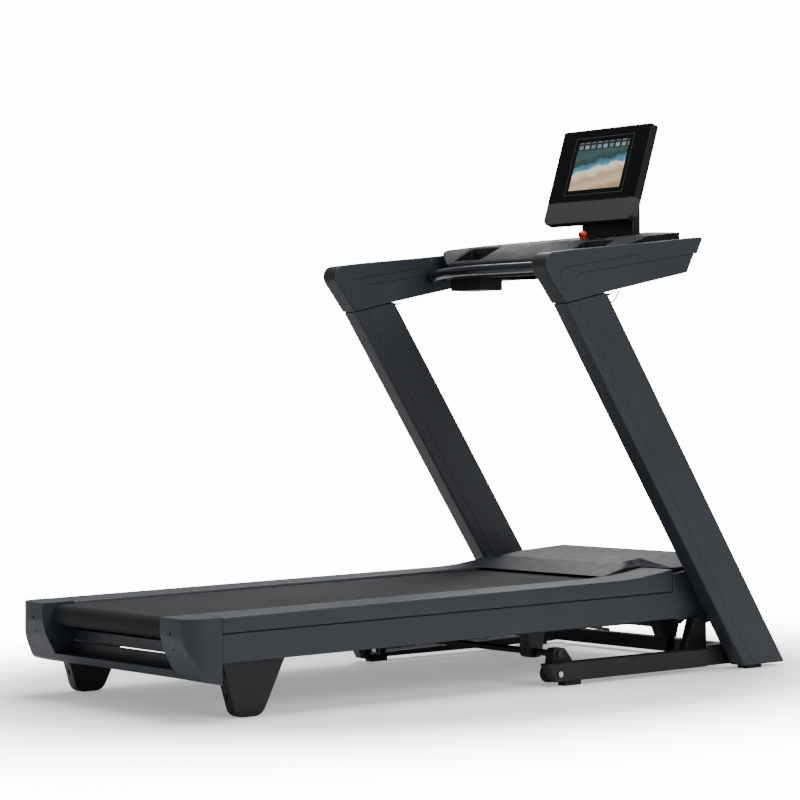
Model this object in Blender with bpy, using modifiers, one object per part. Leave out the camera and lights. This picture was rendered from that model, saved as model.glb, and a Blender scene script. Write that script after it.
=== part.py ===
"""Folding motor treadmill with a powered incline, one object for each physical piece.

+X is the way the runner faces, +Y is the runner's left, +Z is up.  The origin is on
the floor, halfway along the machine and on its plane of symmetry.  Metres throughout.
"""
import math

import bmesh
import bpy
from mathutils import Matrix, Vector

# ------------------------------------------------------------ driving dimensions
LENGTH = 2.010            # rear caps to the toes of the uprights
WIDTH = 0.933             # over the outer faces of the uprights
TOE_ROUND = 0.0023        # what the rounding takes off the toes
TAIL_LEAN = 0.0007        # how far the tilt carries the caps back
GAP = 0.0003              # clearance between faces that touch
RUN_GAP = 0.003           # clearance round pieces that turn or slide

# stand
UPRIGHT_WALL_Y = 0.055    # thickness of an upright across the machine
UPRIGHT_DEPTH = 0.173     # horizontal depth of an upright
UPRIGHT_LEAN = 0.684      # rearward run for each metre of rise
UPRIGHT_FOOT_Z = 0.010
ARM_HEIGHT = 1.013        # height of the boot where the arm meets the upright's rear edge
RAIL_SPAN = 0.614         # length of a base rail
RAIL_TOE = 0.270          # toe to the front end of a base rail
RAIL_WIDTH = 0.033
RAIL_TOP = 0.062
RAIL_BOTTOM = 0.012
TUBE_WALL = 0.0025        # wall of the square section tubes
WHEEL_RADIUS = 0.025
WHEEL_WIDTH = 0.018
BOLT_RADIUS = 0.005
PIVOT_BAR_RADIUS = 0.009

# deck
DECK_TILT = math.radians(0.75)   # the front stands a little higher at rest
DECK_CLEARANCE = 0.0265   # side panel to upright
PIVOT_TOE = 0.270         # toe to the fold pivot
PIVOT_Z = 0.160
BELT_WIDTH = 0.508
BELT_THICK = 0.003
ROLLER_RADIUS = 0.0235
BELT_TOP = 0.2618
BOARD_LAP = 0.021         # how far the board reaches past the belt, each side
BOARD_THICK = 0.022
AXLE_RADIUS = 0.010
LIFT_ARM_WIDTH = 0.036
FRAME_WIDTH = 0.030       # of the deck's frame rails
PANEL_DEPTH = 0.0195      # side panel, over the frame rail
ACTUATOR_LEVER = 0.046    # lift pivot down to the actuator's rear pin

# console
SCREEN_WIDTH = 0.362
SCREEN_HEIGHT = 0.294
SCREEN_THICK = 0.026
SCREEN_TILT = math.radians(18.4)
BUTTON_TRAVEL = 0.0012
KEY_GAP = 0.0006

# ------------------------------------------------------------ derived places
REAR_X = -LENGTH / 2 + TAIL_LEAN
TOE_X = LENGTH / 2 + TOE_ROUND
HALF = WIDTH / 2
INNER = HALF - UPRIGHT_WALL_Y          # inner face of the uprights
PIVOT = Vector((TOE_X - PIVOT_TOE, 0.0, PIVOT_Z))
LIFT_PIVOT = Vector((TOE_X - 0.840, 0.0, 0.086))
DECK_HALF = INNER - DECK_CLEARANCE     # outer faces of the side panels
FRAME_OUT = DECK_HALF - PANEL_DEPTH    # outer faces of the deck's frame rails
FRAME_IN = FRAME_OUT - FRAME_WIDTH
BELT_HALF = BELT_WIDTH / 2
LANDING_IN = BELT_HALF + 0.008         # inner faces of the foot rails and rear caps
BOARD_HALF = BELT_HALF + BOARD_LAP
ROLLER_Z = BELT_TOP - BELT_THICK - GAP - ROLLER_RADIUS
LIFT_OUT = FRAME_IN - 0.0125           # outer faces of the lift arms
ACTUATOR_Y = FRAME_IN + 0.0065         # the incline actuator stands beside the left one
RAIL_IN = DECK_HALF + 0.001            # the deck's sides pass inside the floor rails
RAIL_OUT = RAIL_IN + RAIL_WIDTH
RAIL_MID = (RAIL_IN + RAIL_OUT) / 2

PARTS = "treadmill"
CUTTERS = "cutters"


def clear_scene():
    """Remove every object, so that the script starts from nothing."""
    for obj in list(bpy.data.objects):
        bpy.data.objects.remove(obj, do_unlink=True)


def collection(name):
    """Return the named collection, made and linked when it isn't there yet."""
    found = bpy.data.collections.get(name)
    if found is None:
        found = bpy.data.collections.new(name)
        bpy.context.scene.collection.children.link(found)
    return found


def material(name, colour, roughness, metallic=0.0):
    """Return a Principled material with the given finish."""
    mat = bpy.data.materials.get(name)
    if mat is None:
        mat = bpy.data.materials.new(name)
        mat.use_nodes = True
        shader = mat.node_tree.nodes["Principled BSDF"]
        shader.inputs["Base Color"].default_value = (*colour, 1.0)
        shader.inputs["Roughness"].default_value = roughness
        shader.inputs["Metallic"].default_value = metallic
        mat.diffuse_color = (*colour, 1.0)
    return mat


def slate(name):
    """Satin slate plastic, the colour of the covers."""
    return material(name + "_slate", (0.045, 0.050, 0.058), 0.45)


def black(name):
    """Dark moulded plastic."""
    return material(name + "_black", (0.012, 0.013, 0.015), 0.5)


def painted(name):
    """Dark painted steel."""
    return material(name + "_paint", (0.02, 0.021, 0.024), 0.4, 0.3)


def steel(name):
    """Bare steel."""
    return material(name + "_steel", (0.55, 0.55, 0.56), 0.3, 1.0)


def rubber(name):
    """Matte rubber."""
    return material(name + "_rubber", (0.01, 0.01, 0.01), 0.85)


def glass(name):
    """Black gloss panel."""
    return material(name + "_glass", (0.003, 0.003, 0.004), 0.05)


# ------------------------------------------------------------ modelling helpers
def adopt(obj, name, mat, where=PARTS):
    """Name an object, give it its material and put it in its collection."""
    obj.name = name
    obj.data.name = name
    obj.data.materials.clear()
    if mat is not None:
        obj.data.materials.append(mat)
    for owner in list(obj.users_collection):
        owner.objects.unlink(obj)
    collection(where).objects.link(obj)
    return obj


def soften(obj, width, segments=2, angle=35.0):
    """Round the edges of a piece with a Bevel modifier."""
    if width > 0.0:
        bevel = obj.modifiers.new("rounded edges", "BEVEL")
        bevel.width = width
        bevel.segments = segments
        bevel.limit_method = "ANGLE"
        bevel.angle_limit = math.radians(angle)
    return obj


def box(name, low, high, mat, bevel=0.0, segments=2):
    """A block between two corners."""
    low, high = Vector(low), Vector(high)
    mesh = bpy.data.meshes.new(name)
    shape = bmesh.new()
    bmesh.ops.create_cube(shape, size=1.0)
    bmesh.ops.scale(shape, vec=high - low, verts=shape.verts)
    bmesh.ops.translate(shape, vec=(low + high) / 2, verts=shape.verts)
    shape.to_mesh(mesh)
    shape.free()
    obj = bpy.data.objects.new(name, mesh)
    return soften(adopt(obj, name, mat), bevel, segments)


def side_box(name, x_span, y_span, z_span, side, mat, bevel=0.0):
    """A block on one side, its y values given as distances from the middle plane."""
    y_low, y_high = sorted((side * y_span[0], side * y_span[1]))
    return box(name, (x_span[0], y_low, z_span[0]), (x_span[1], y_high, z_span[1]), mat,
               bevel, 1)


def rod(name, start, end, radius, mat, sides=24, bevel=0.0, radius_end=None):
    """A round bar, or a cone, between two points."""
    start, end = Vector(start), Vector(end)
    along = end - start
    mesh = bpy.data.meshes.new(name)
    shape = bmesh.new()
    tip = radius if radius_end is None else radius_end
    bmesh.ops.create_cone(shape, cap_ends=True, segments=sides, radius1=radius,
                          radius2=tip, depth=along.length)
    turn = Vector((0, 0, 1)).rotation_difference(along).to_matrix().to_4x4()
    bmesh.ops.transform(shape, matrix=Matrix.Translation((start + end) / 2) @ turn,
                        verts=shape.verts)
    shape.to_mesh(mesh)
    shape.free()
    mesh.shade_smooth()
    mesh.set_sharp_from_angle(angle=math.radians(40))
    obj = bpy.data.objects.new(name, mesh)
    return soften(adopt(obj, name, mat), bevel)


def rounded(points, radii, steps=4):
    """Replace corners of a closed outline by arcs.

    points are (u, v) corners and radii their fillet radii, 0 for a sharp corner.
    """
    outline = []
    count = len(points)
    for i, radius in enumerate(radii):
        corner = Vector(points[i])
        before = (Vector(points[i - 1]) - corner)
        after = (Vector(points[(i + 1) % count]) - corner)
        if radius <= 0.0:
            outline.append(corner)
            continue
        before.normalize()
        after.normalize()
        half = before.angle(after) / 2
        reach = radius / math.tan(half)
        centre = corner + (before + after).normalized() * (radius / math.sin(half))
        first = corner + before * reach - centre
        sweep = first.angle_signed(corner + after * reach - centre)
        for k in range(steps + 1):
            arm = first.copy()
            arm.rotate(Matrix.Rotation(-sweep * k / steps, 2))
            outline.append(centre + arm)
    return outline


def curve_to_mesh(obj, weld=0.00002):
    """Turn a curve object into a welded mesh object with its place in its mesh."""
    depsgraph = bpy.context.evaluated_depsgraph_get()
    mesh = bpy.data.meshes.new_from_object(obj.evaluated_get(depsgraph))
    shape = bmesh.new()
    shape.from_mesh(mesh)
    bmesh.ops.remove_doubles(shape, verts=shape.verts, dist=weld)
    bmesh.ops.dissolve_limit(shape, angle_limit=math.radians(0.05), verts=shape.verts,
                             edges=shape.edges)
    bmesh.ops.recalc_face_normals(shape, faces=shape.faces)
    shape.to_mesh(mesh)
    shape.free()
    solid = bpy.data.objects.new(obj.name, mesh)
    solid.matrix_world = obj.matrix_world
    bpy.data.objects.remove(obj, do_unlink=True)
    return solid


def outline_solid(name, outline, thickness, frame_matrix, mat, bevel=0.0, segments=2,
                  where=PARTS):
    """A flat outline extruded both ways by half its thickness, then placed."""
    curve = bpy.data.curves.new(name, "CURVE")
    curve.dimensions = "2D"
    curve.fill_mode = "BOTH"
    curve.extrude = thickness / 2
    spline = curve.splines.new("POLY")
    spline.points.add(len(outline) - 1)
    for point, corner in zip(spline.points, outline):
        point.co = (corner[0], corner[1], 0.0, 1.0)
    spline.use_cyclic_u = True
    obj = bpy.data.objects.new(name, curve)
    bpy.context.scene.collection.objects.link(obj)
    obj.matrix_world = frame_matrix
    bpy.context.view_layer.update()
    solid = curve_to_mesh(obj)
    solid.data.transform(solid.matrix_world)
    solid.matrix_world = Matrix.Identity(4)
    return soften(adopt(solid, name, mat, where), bevel, segments)


def side_plate(name, outline, y_from, y_to, mat, bevel=0.0, segments=2, where=PARTS):
    """A plate with an outline in (x, z), standing between two values of y."""
    middle = (y_from + y_to) / 2
    stand = Matrix.Translation((0, middle, 0)) @ Matrix.Rotation(math.radians(90), 4, "X")
    return outline_solid(name, outline, abs(y_to - y_from), stand, mat, bevel, segments,
                         where)


def flat_plate(name, outline, z_from, z_to, mat, bevel=0.0, segments=2, where=PARTS):
    """A plate with an outline in (x, y), lying between two values of z."""
    lie = Matrix.Translation((0, 0, (z_from + z_to) / 2))
    return outline_solid(name, outline, abs(z_to - z_from), lie, mat, bevel, segments,
                         where)


def tube(name, points, radius, mat, sides_level=3):
    """A bent round bar along points, with filled caps."""
    curve = bpy.data.curves.new(name, "CURVE")
    curve.dimensions = "3D"
    curve.bevel_depth = radius
    curve.bevel_resolution = sides_level
    curve.use_fill_caps = True
    spline = curve.splines.new("POLY")
    spline.points.add(len(points) - 1)
    for point, place in zip(spline.points, points):
        point.co = (*place, 1.0)
    obj = bpy.data.objects.new(name, curve)
    bpy.context.scene.collection.objects.link(obj)
    bpy.context.view_layer.update()
    solid = curve_to_mesh(obj)
    solid.data.shade_smooth()
    solid.data.set_sharp_from_angle(angle=math.radians(40))
    return adopt(solid, name, mat)


def boolean(obj, other, operation):
    """Cut a piece with, or join it to, another, which is then kept as a cutter."""
    other.hide_render = True
    other.display_type = "WIRE"
    for owner in list(other.users_collection):
        owner.objects.unlink(other)
    collection(CUTTERS).objects.link(other)
    other.parent = obj
    step = obj.modifiers.new(operation.lower(), "BOOLEAN")
    step.operation = operation
    step.object = other
    step.solver = "EXACT"
    return obj


def cut(obj, *cutters):
    """Take cutters out of a piece."""
    for cutter in cutters:
        boolean(obj, cutter, "DIFFERENCE")
    return obj


def join(obj, *others):
    """Weld others onto a piece."""
    for other in others:
        boolean(obj, other, "UNION")
    return obj


def mover(name, place, parent=None):
    """An empty on a joint's axis, for the pieces that turn or slide there."""
    empty = bpy.data.objects.new(name, None)
    empty.empty_display_size = 0.05
    collection(PARTS).objects.link(empty)
    empty.location = Vector(place)
    if parent is not None:
        empty.parent = parent
        empty.location = Vector(place) - Vector(parent["home"])
    empty["home"] = tuple(place)
    return empty


def carry(empty, *pieces):
    """Put pieces, modelled in place, under an empty."""
    for piece in pieces:
        piece.parent = empty
        piece.location = piece.location - Vector(empty["home"])


def sides():
    """Left and right, as names and signs."""
    return (("left", 1.0), ("right", -1.0))


# ------------------------------------------------------------ stand
def upright_rear(z):
    """Rear edge of an upright at a height."""
    return TOE_X + UPRIGHT_LEAN * UPRIGHT_FOOT_Z - UPRIGHT_DEPTH - UPRIGHT_LEAN * z


def hollow_bar(name, low, high, bevel):
    """A box section bar right across the machine, open at both ends."""
    reach = high[1]
    bar = box(name, (low[0], -reach, low[2]), (high[0], reach, high[2]), painted(name),
              bevel, 1)
    core = box(name + "_core", (low[0] + TUBE_WALL, -reach - 0.01, low[2] + TUBE_WALL),
               (high[0] - TUBE_WALL, reach + 0.01, high[2] - TUBE_WALL), None)
    return cut(bar, core)


def upright_front(z):
    """Front edge of an upright at a height."""
    return upright_rear(z) + UPRIGHT_DEPTH


def build_base():
    """Floor rails with their ears, the cross bars, pads and transport wheels."""
    tip = TOE_X - RAIL_TOE - RAIL_SPAN
    for label, s in sides():
        rail = side_plate(
            "base_rail_" + label,
            [(tip, RAIL_TOP), (tip + 0.029, RAIL_BOTTOM), (TOE_X - RAIL_TOE, RAIL_BOTTOM),
             (TOE_X - RAIL_TOE, RAIL_TOP)],
            s * RAIL_IN, s * RAIL_OUT, painted("base_rail"), 0.002, 1)
        ear_in = s * (RAIL_IN + 0.0006)
        ear_out = s * (RAIL_OUT - 0.004)
        rear_ear = side_plate(
            "rear_ear_" + label,
            rounded([(LIFT_PIVOT.x - 0.026, RAIL_TOP - 0.01),
                     (LIFT_PIVOT.x + 0.060, RAIL_TOP - 0.01),
                     (LIFT_PIVOT.x + 0.020, LIFT_PIVOT.z + 0.016),
                     (LIFT_PIVOT.x - 0.020, LIFT_PIVOT.z + 0.016)],
                    [0, 0, 0.012, 0.012]), ear_in, ear_out, None)
        front_ear = side_plate(
            "front_ear_" + label,
            [(TOE_X - 0.355, RAIL_TOP - 0.01), (TOE_X - 0.272, RAIL_TOP - 0.01),
             (TOE_X - 0.272, PIVOT_Z - 0.010), (TOE_X - 0.322, PIVOT_Z - 0.010)],
            ear_in, ear_out, None)
        bolt_hole = rod("bolt_hole_" + label, (tip + 0.044, s * (RAIL_IN - 0.01), 0.033),
                        (tip + 0.044, s * (RAIL_OUT + 0.01), 0.033),
                        BOLT_RADIUS + GAP, None)
        bar_hole = rod("bar_hole_" + label, (LIFT_PIVOT.x, ear_in - s * 0.01, LIFT_PIVOT.z),
                       (LIFT_PIVOT.x, ear_out + s * 0.01, LIFT_PIVOT.z),
                       PIVOT_BAR_RADIUS + GAP, None)
        toe = side_box("toe_bracket_" + label, (TOE_X - RAIL_TOE - 0.006, TOE_X - 0.100),
                       (RAIL_IN, INNER - GAP), (RAIL_BOTTOM + 0.001, RAIL_TOP + 0.008),
                       s, None)
        pad = side_box("rear_pad_" + label, (tip + 0.064, tip + 0.124),
                       (RAIL_MID - 0.013, RAIL_MID + 0.013),
                       (0.0, RAIL_BOTTOM + TUBE_WALL / 2), s, None)
        core = side_box("rail_core_" + label, (tip + 0.180, TOE_X - RAIL_TOE - 0.020),
                        (RAIL_IN + TUBE_WALL, RAIL_OUT - TUBE_WALL),
                        (RAIL_BOTTOM - 0.010, RAIL_TOP - 2 * TUBE_WALL), s, None)
        join(rail, rear_ear, front_ear, toe, pad)
        cut(rail, core, bolt_hole, bar_hole)

        # the wheel runs on the bolt, on the inner side of the rail
        axis = Vector((tip + 0.044, 0.0, 0.033))
        wheel_at = RAIL_IN - RUN_GAP - WHEEL_WIDTH
        wheel = rod("transport_wheel_" + label, axis + Vector((0, s * wheel_at, 0)),
                    axis + Vector((0, s * (wheel_at + WHEEL_WIDTH), 0)), WHEEL_RADIUS,
                    rubber("wheel"), 32, 0.002)
        bore = rod("wheel_bore_" + label, axis + Vector((0, s * (wheel_at - 0.01), 0)),
                   axis + Vector((0, s * (RAIL_IN), 0)), BOLT_RADIUS + 0.0005, None)
        cut(wheel, bore)
        carry(mover("transport_wheel_axis_" + label,
                    axis + Vector((0, s * (wheel_at + WHEEL_WIDTH / 2), 0))), wheel)
        bolt = rod("wheel_bolt_" + label, axis + Vector((0, s * (wheel_at - 0.002), 0)),
                   axis + Vector((0, s * (RAIL_OUT + 0.003), 0)), BOLT_RADIUS,
                   steel("bolt"), 16)
        head = rod("bolt_head_" + label, axis + Vector((0, s * (RAIL_OUT + GAP), 0)),
                   axis + Vector((0, s * (RAIL_OUT + 0.004), 0)), 0.0085, None, 6)
        nut = rod("bolt_nut_" + label, axis + Vector((0, s * (wheel_at - 0.006), 0)),
                  axis + Vector((0, s * (wheel_at - 0.0008), 0)), 0.0085, None, 6)
        join(bolt, head, nut)

    # front cross bar between the uprights
    hollow_bar("base_front_bar", (TOE_X - 0.065, INNER - GAP, RAIL_BOTTOM),
               (TOE_X - 0.025, INNER - GAP, RAIL_BOTTOM + 0.040), 0.003)
    # fixed bar that the lift frame hinges on
    rod("lift_hinge_bar", (LIFT_PIVOT.x, -RAIL_OUT, LIFT_PIVOT.z),
        (LIFT_PIVOT.x, RAIL_OUT, LIFT_PIVOT.z), PIVOT_BAR_RADIUS, steel("hinge_bar"), 20)


def build_uprights():
    """The two leaning legs, hollow like the box section they are."""
    for label, s in sides():
        top_rear = ARM_HEIGHT - GAP
        top_front = ARM_HEIGHT + 0.032 - GAP
        leg = side_plate(
            "upright_" + label,
            [(upright_rear(UPRIGHT_FOOT_Z), UPRIGHT_FOOT_Z),
             (upright_front(UPRIGHT_FOOT_Z), UPRIGHT_FOOT_Z),
             (upright_front(top_front), top_front), (upright_rear(top_rear), top_rear)],
            s * INNER, s * HALF, slate("upright"), 0.006, 2)
        wall = 0.004
        low, high = UPRIGHT_FOOT_Z + 0.008, top_front + wall
        slant = wall * math.hypot(1.0, UPRIGHT_LEAN)
        core = side_plate(
            "upright_core_" + label,
            [(upright_rear(low) + slant, low), (upright_front(low) - slant, low),
             (upright_front(high) - slant, high), (upright_rear(high) + slant, high)],
            s * (INNER + wall), s * (HALF - wall), None)
        foot_mid = s * (HALF - UPRIGHT_WALL_Y / 2)
        pad = box("front_pad_" + label, (TOE_X - 0.150, foot_mid - 0.018, 0.0),
                  (TOE_X - 0.090, foot_mid + 0.018, UPRIGHT_FOOT_Z + 0.004), None)
        join(leg, pad)
        cut(leg, core)


# ------------------------------------------------------------ arms and console
def arm_outline():
    """Side outline of an arm, from the boot's rear corner round the front and top."""
    t = TOE_X - 2.010
    return rounded(
        [(1.150 + t, 1.013), (1.302 + t, 1.045), (1.622 + t, 1.108), (1.677 + t, 1.206),
         (1.448 + t, 1.181), (1.218 + t, 1.158), (1.048 + t, 1.138)],
        [0.003, 0.003, 0.016, 0.006, 0.0, 0.0, 0.030])


def build_arms():
    """A boot and side console over the top of each upright."""
    for label, s in sides():
        y_in, y_out = s * (INNER - 0.0010), s * HALF
        side_plate("arm_" + label, arm_outline(), y_in, y_out, slate("arm"), 0.009, 2)


def key_outline(u, v, length, width, inset):
    """Rounded outline of a key in the panel's own plane, drawn in by a clearance."""
    du, dv = width / 2 - inset, length / 2 - inset
    return rounded([(u - du, v - dv), (u + du, v - dv), (u + du, v + dv), (u - du, v + dv)],
                   [0.005 - inset] * 4, 3)


def build_console():
    """Tray between the arms, glossy key panel, keys, bar, cup holders, mast and screen."""
    t = TOE_X - 2.010
    reach = INNER - 0.0010 - GAP
    tray = side_plate(
        "console_tray",
        rounded([(1.418 + t, 1.108), (1.600 + t, 1.108), (1.690 + t, 1.175),
                 (1.830 + t, 1.195), (1.830 + t, 1.2434), (1.505 + t, 1.203),
                 (1.408 + t, 1.152)],
                [0.010, 0.0, 0.0, 0.008, 0.008, 0.0, 0.012]),
        -reach, reach, slate("tray"))
    plan = flat_plate("tray_plan",
                      rounded([(1.4885 + t, -0.5), (1.640 + t, -0.5), (1.640 + t, -reach),
                               (1.818 + t, -0.125), (1.818 + t, 0.125),
                               (1.640 + t, reach), (1.640 + t, 0.5), (1.4885 + t, 0.5),
                               (1.4885 + t, reach), (1.408 + t, 0.302),
                               (1.408 + t, -0.302), (1.4885 + t, -reach)],
                              [0, 0, 0, 0.050, 0.050, 0, 0, 0, 0, 0.06, 0.06, 0], 4),
                      1.0, 1.4, None)
    boolean(tray, plan, "INTERSECT")
    cup = {"x0": 1.422 + t, "x1": 1.508 + t, "y0": 0.170, "y1": 0.300, "z0": 1.075}
    for label, s in sides():
        y0, y1 = sorted((s * cup["y0"], s * cup["y1"]))
        hole = box("cup_hole_" + label, (cup["x0"] - GAP, y0 - GAP, 1.0),
                   (cup["x1"] + GAP, y1 + GAP, 1.30), None)
        cut(tray, hole)
        holder = side_plate(
            "cup_holder_" + label,
            [(cup["x0"], cup["z0"]), (cup["x1"], cup["z0"]), (cup["x1"], 1.2025),
             (cup["x0"], 1.160)], y0, y1, black("cup_holder"), 0.0)
        wall = 0.004
        well = box("cup_well_" + label, (cup["x0"] + wall, y0 + wall, cup["z0"] + wall),
                   (cup["x1"] - wall, y1 - wall, 1.30), None, 0.004, 1)
        cut(holder, well)

    for k, (y0, y1) in enumerate(((0.005 - reach, -0.306), (-0.164, 0.164),
                                 (0.306, reach - 0.005))):
        cut(tray, box(f"tray_cavity_{k}", (1.432 + t, y0, 1.00), (1.590 + t, y1, 1.158), None))

    # glossy key panel, lying in a shallow recess of the tray's sloping top
    slope = math.atan2(1.2434 - 1.203, 1.830 - 1.505)
    along = Vector((math.cos(slope), 0, math.sin(slope)))
    up = Vector((-math.sin(slope), 0, math.cos(slope)))
    start = Vector((1.516 + t, 0, 1.203 + math.tan(slope) * 0.011))
    tilt = Matrix.Translation(start) @ Matrix(
        ((along.x, 0, up.x, 0), (0, 1, 0, 0), (along.z, 0, up.z, 0), (0, 0, 0, 1)))
    panel_len, panel_half, panel_end, panel_thick = 0.236, 0.235, 0.125, 0.004
    outline = rounded([(0, -panel_half), (panel_len, -panel_end),
                       (panel_len, panel_end), (0, panel_half)], [0.008] * 4, 3)
    recess = outline_solid("panel_recess",
                           [(u, v) for u, v in outline], 2 * (panel_thick + GAP),
                           tilt, None, where=CUTTERS)
    cut(tray, recess)
    inner = rounded([(GAP, -panel_half + 2 * GAP), (panel_len - GAP, -panel_end + GAP),
                     (panel_len - GAP, panel_end - GAP), (GAP, panel_half - 2 * GAP)],
                    [0.008] * 4, 3)
    panel = outline_solid("control_panel", inner, panel_thick,
                          tilt @ Matrix.Translation((0, 0, -panel_thick / 2)),
                          glass("panel"))
    keys = (("incline_key", 0.065, 0.170, 0.056), ("speed_key", 0.065, -0.170, 0.056),
            ("start_key", 0.060, 0.080, 0.026), ("stop_key", 0.060, -0.080, 0.026))
    for name, u, v, size in keys:
        cut(panel, outline_solid(name + "_hole", key_outline(u, v, size, 0.022, 0.0), 0.020,
                                 tilt, None, where=CUTTERS))
        depth = panel_thick - 2 * BUTTON_TRAVEL + 0.001
        top = tilt @ Matrix.Translation((0, 0, 0.0004 - depth / 2))
        key = outline_solid(name, key_outline(u, v, size, 0.022, KEY_GAP), depth, top,
                            black("key"))
        carry(mover(name + "_axis", tilt @ Vector((u, v, 0.0))), key)

    # safety key: a round red cap with a stem in a socket of the panel and the tray
    key_u, key_r = 0.154, 0.0135
    foot = tilt @ Vector((key_u, 0.0, 0.0))
    normal = up
    socket = rod("safety_socket", foot - normal * 0.010, foot + normal * 0.010,
                 0.0060 + RUN_GAP / 4, None, 20)
    cut(panel, socket)
    socket_tray = rod("safety_socket_tray", foot - normal * 0.018, foot + normal * 0.010,
                      0.0060 + RUN_GAP / 4, None, 20)
    cut(tray, socket_tray)
    cap = rod("safety_key", foot + normal * 0.0006, foot + normal * 0.022, key_r,
              material("safety_red", (0.75, 0.03, 0.02), 0.35), 28, 0.004,
              key_r * 0.86)
    stem = rod("safety_stem", foot - normal * 0.015, foot + normal * 0.004, 0.0060, None, 20)
    join(cap, stem)
    carry(mover("safety_key_axis", foot), cap)

    # pulse bar, a flattened bar bowed towards the runner
    bar_path = []
    for k in range(17):
        f = -1.0 + 2.0 * k / 16
        bow = 1.0 - f ** 4
        bar_path.append((1.452 + t - 0.086 * bow, f * (reach + 0.010), 1.116 + 0.012 * bow))
    bar = tube("pulse_bar", bar_path, 0.0150, steel("pulse_bar"), 3)
    between = box("bar_span", (1.30 + t, -reach, 1.05), (1.50 + t, reach, 1.20), None)
    boolean(bar, between, "INTERSECT")

    build_mast_and_screen(t)
    # short lead clipped between the right upright's top and the arm
    lead_radius = 0.002
    start = Vector((upright_front(1.028) + lead_radius * 1.5, -HALF + 0.020, 1.028))
    end = Vector((1.368 + t, -HALF + 0.020, 1.0565 - lead_radius * 1.5))
    lead = []
    for k in range(13):
        f = k / 12
        sag = Vector((0.0, 0.0, -0.020 * math.sin(math.pi * f)))
        lead.append(start.lerp(end, f) + sag)
    tube("sensor_lead", lead, lead_radius, rubber("lead"), 2)


def build_mast_and_screen(t):
    """Mast behind the tray and the tilting screen on its tilt barrel."""
    mast_half, mast_rear, mast_front = 0.105, 1.7655 + t, 1.8000 + t
    foot_z = 1.212
    holder = box("screen_mast", (mast_rear, -mast_half, foot_z + GAP),
                 (mast_front, mast_half, 1.421), black("mast"), 0.004, 2)
    seat = box("mast_seat", (mast_rear - GAP, -mast_half - GAP, foot_z),
               (mast_front + GAP, mast_half + GAP, 1.40), None)
    cut(bpy.data.objects["console_tray"], seat)
    centre = Vector((1.7261 + t, 0.0, 1.4117))
    tilt = Matrix.Translation(centre) @ Matrix.Rotation(SCREEN_TILT, 4, "Y")
    half_w, half_h = SCREEN_WIDTH / 2, SCREEN_HEIGHT / 2
    bar_h = 0.066
    chamfer = 0.012
    body_outline = [(-half_w, -half_h + bar_h + GAP), (half_w, -half_h + bar_h + GAP),
                    (half_w, half_h), (-half_w, half_h)]
    place = tilt @ Matrix.Translation((SCREEN_THICK / 2, 0, 0)) @ Matrix(
        ((0, 0, 1, 0), (1, 0, 0, 0), (0, 1, 0, 0), (0, 0, 0, 1)))
    housing = outline_solid("screen_housing", rounded(body_outline, [0, 0, 0.004, 0.004], 2),
                            SCREEN_THICK, place, black("screen_housing"))
    glass_thick = 0.003
    glass_outline = [(-half_w + 0.004, -half_h + bar_h + 0.003),
                     (half_w - 0.004, -half_h + bar_h + 0.003),
                     (half_w - 0.004, half_h - 0.004), (-half_w + 0.004, half_h - 0.004)]
    front = tilt @ Matrix(((0, 0, 1, 0), (1, 0, 0, 0), (0, 1, 0, 0), (0, 0, 0, 1)))
    pocket = outline_solid("glass_pocket", glass_outline, 2 * (glass_thick + GAP), front,
                           None, where=CUTTERS)
    cut(housing, pocket)
    shrink = [(u * 0.9985, v - math.copysign(GAP, v)) for u, v in glass_outline]
    pane = outline_solid("screen_glass", shrink, glass_thick,
                         front @ Matrix.Translation((0, 0, glass_thick / 2)),
                         glass("screen_glass"))
    bar_outline = [(-half_w + chamfer, -half_h), (half_w - chamfer, -half_h),
                   (half_w, -half_h + chamfer), (half_w, -half_h + bar_h),
                   (-half_w, -half_h + bar_h), (-half_w, -half_h + chamfer)]
    speaker = outline_solid("speaker_bar", bar_outline, SCREEN_THICK, place,
                            slate("speaker_bar"))
    # tilt barrel on the back of the housing, between two cheeks on the mast
    pivot = tilt @ Vector((SCREEN_THICK + 0.030, 0, 0.0))
    lug = box("screen_lug", (-0.003, -0.030, -0.014), (0.044, 0.030, 0.014), None)
    lug.matrix_world = tilt @ Matrix.Translation((SCREEN_THICK, 0, 0))
    join(housing, lug)
    slot = box("lug_slot", (mast_rear - 0.01, -0.034, pivot.z - 0.040),
               (mast_front + 0.01, 0.034, 1.45), None)
    cut(holder, slot)
    pin_hole = rod("tilt_pin_hole", pivot + Vector((0, -0.12, 0)), pivot + Vector((0, 0.12, 0)),
                   0.0052 + GAP, None, 20)
    cut(housing, pin_hole)
    hole_mast = rod("tilt_pin_hole_mast", pivot + Vector((0, -0.12, 0)),
                    pivot + Vector((0, 0.12, 0)), 0.0052 + GAP, None, 20)
    cut(holder, hole_mast)
    rod("tilt_pin", pivot + Vector((0, -0.1055, 0)), pivot + Vector((0, 0.1055, 0)), 0.0052,
        steel("tilt_pin"), 20)
    carry(mover("screen_tilt_axis", pivot), housing, pane, speaker)


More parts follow.
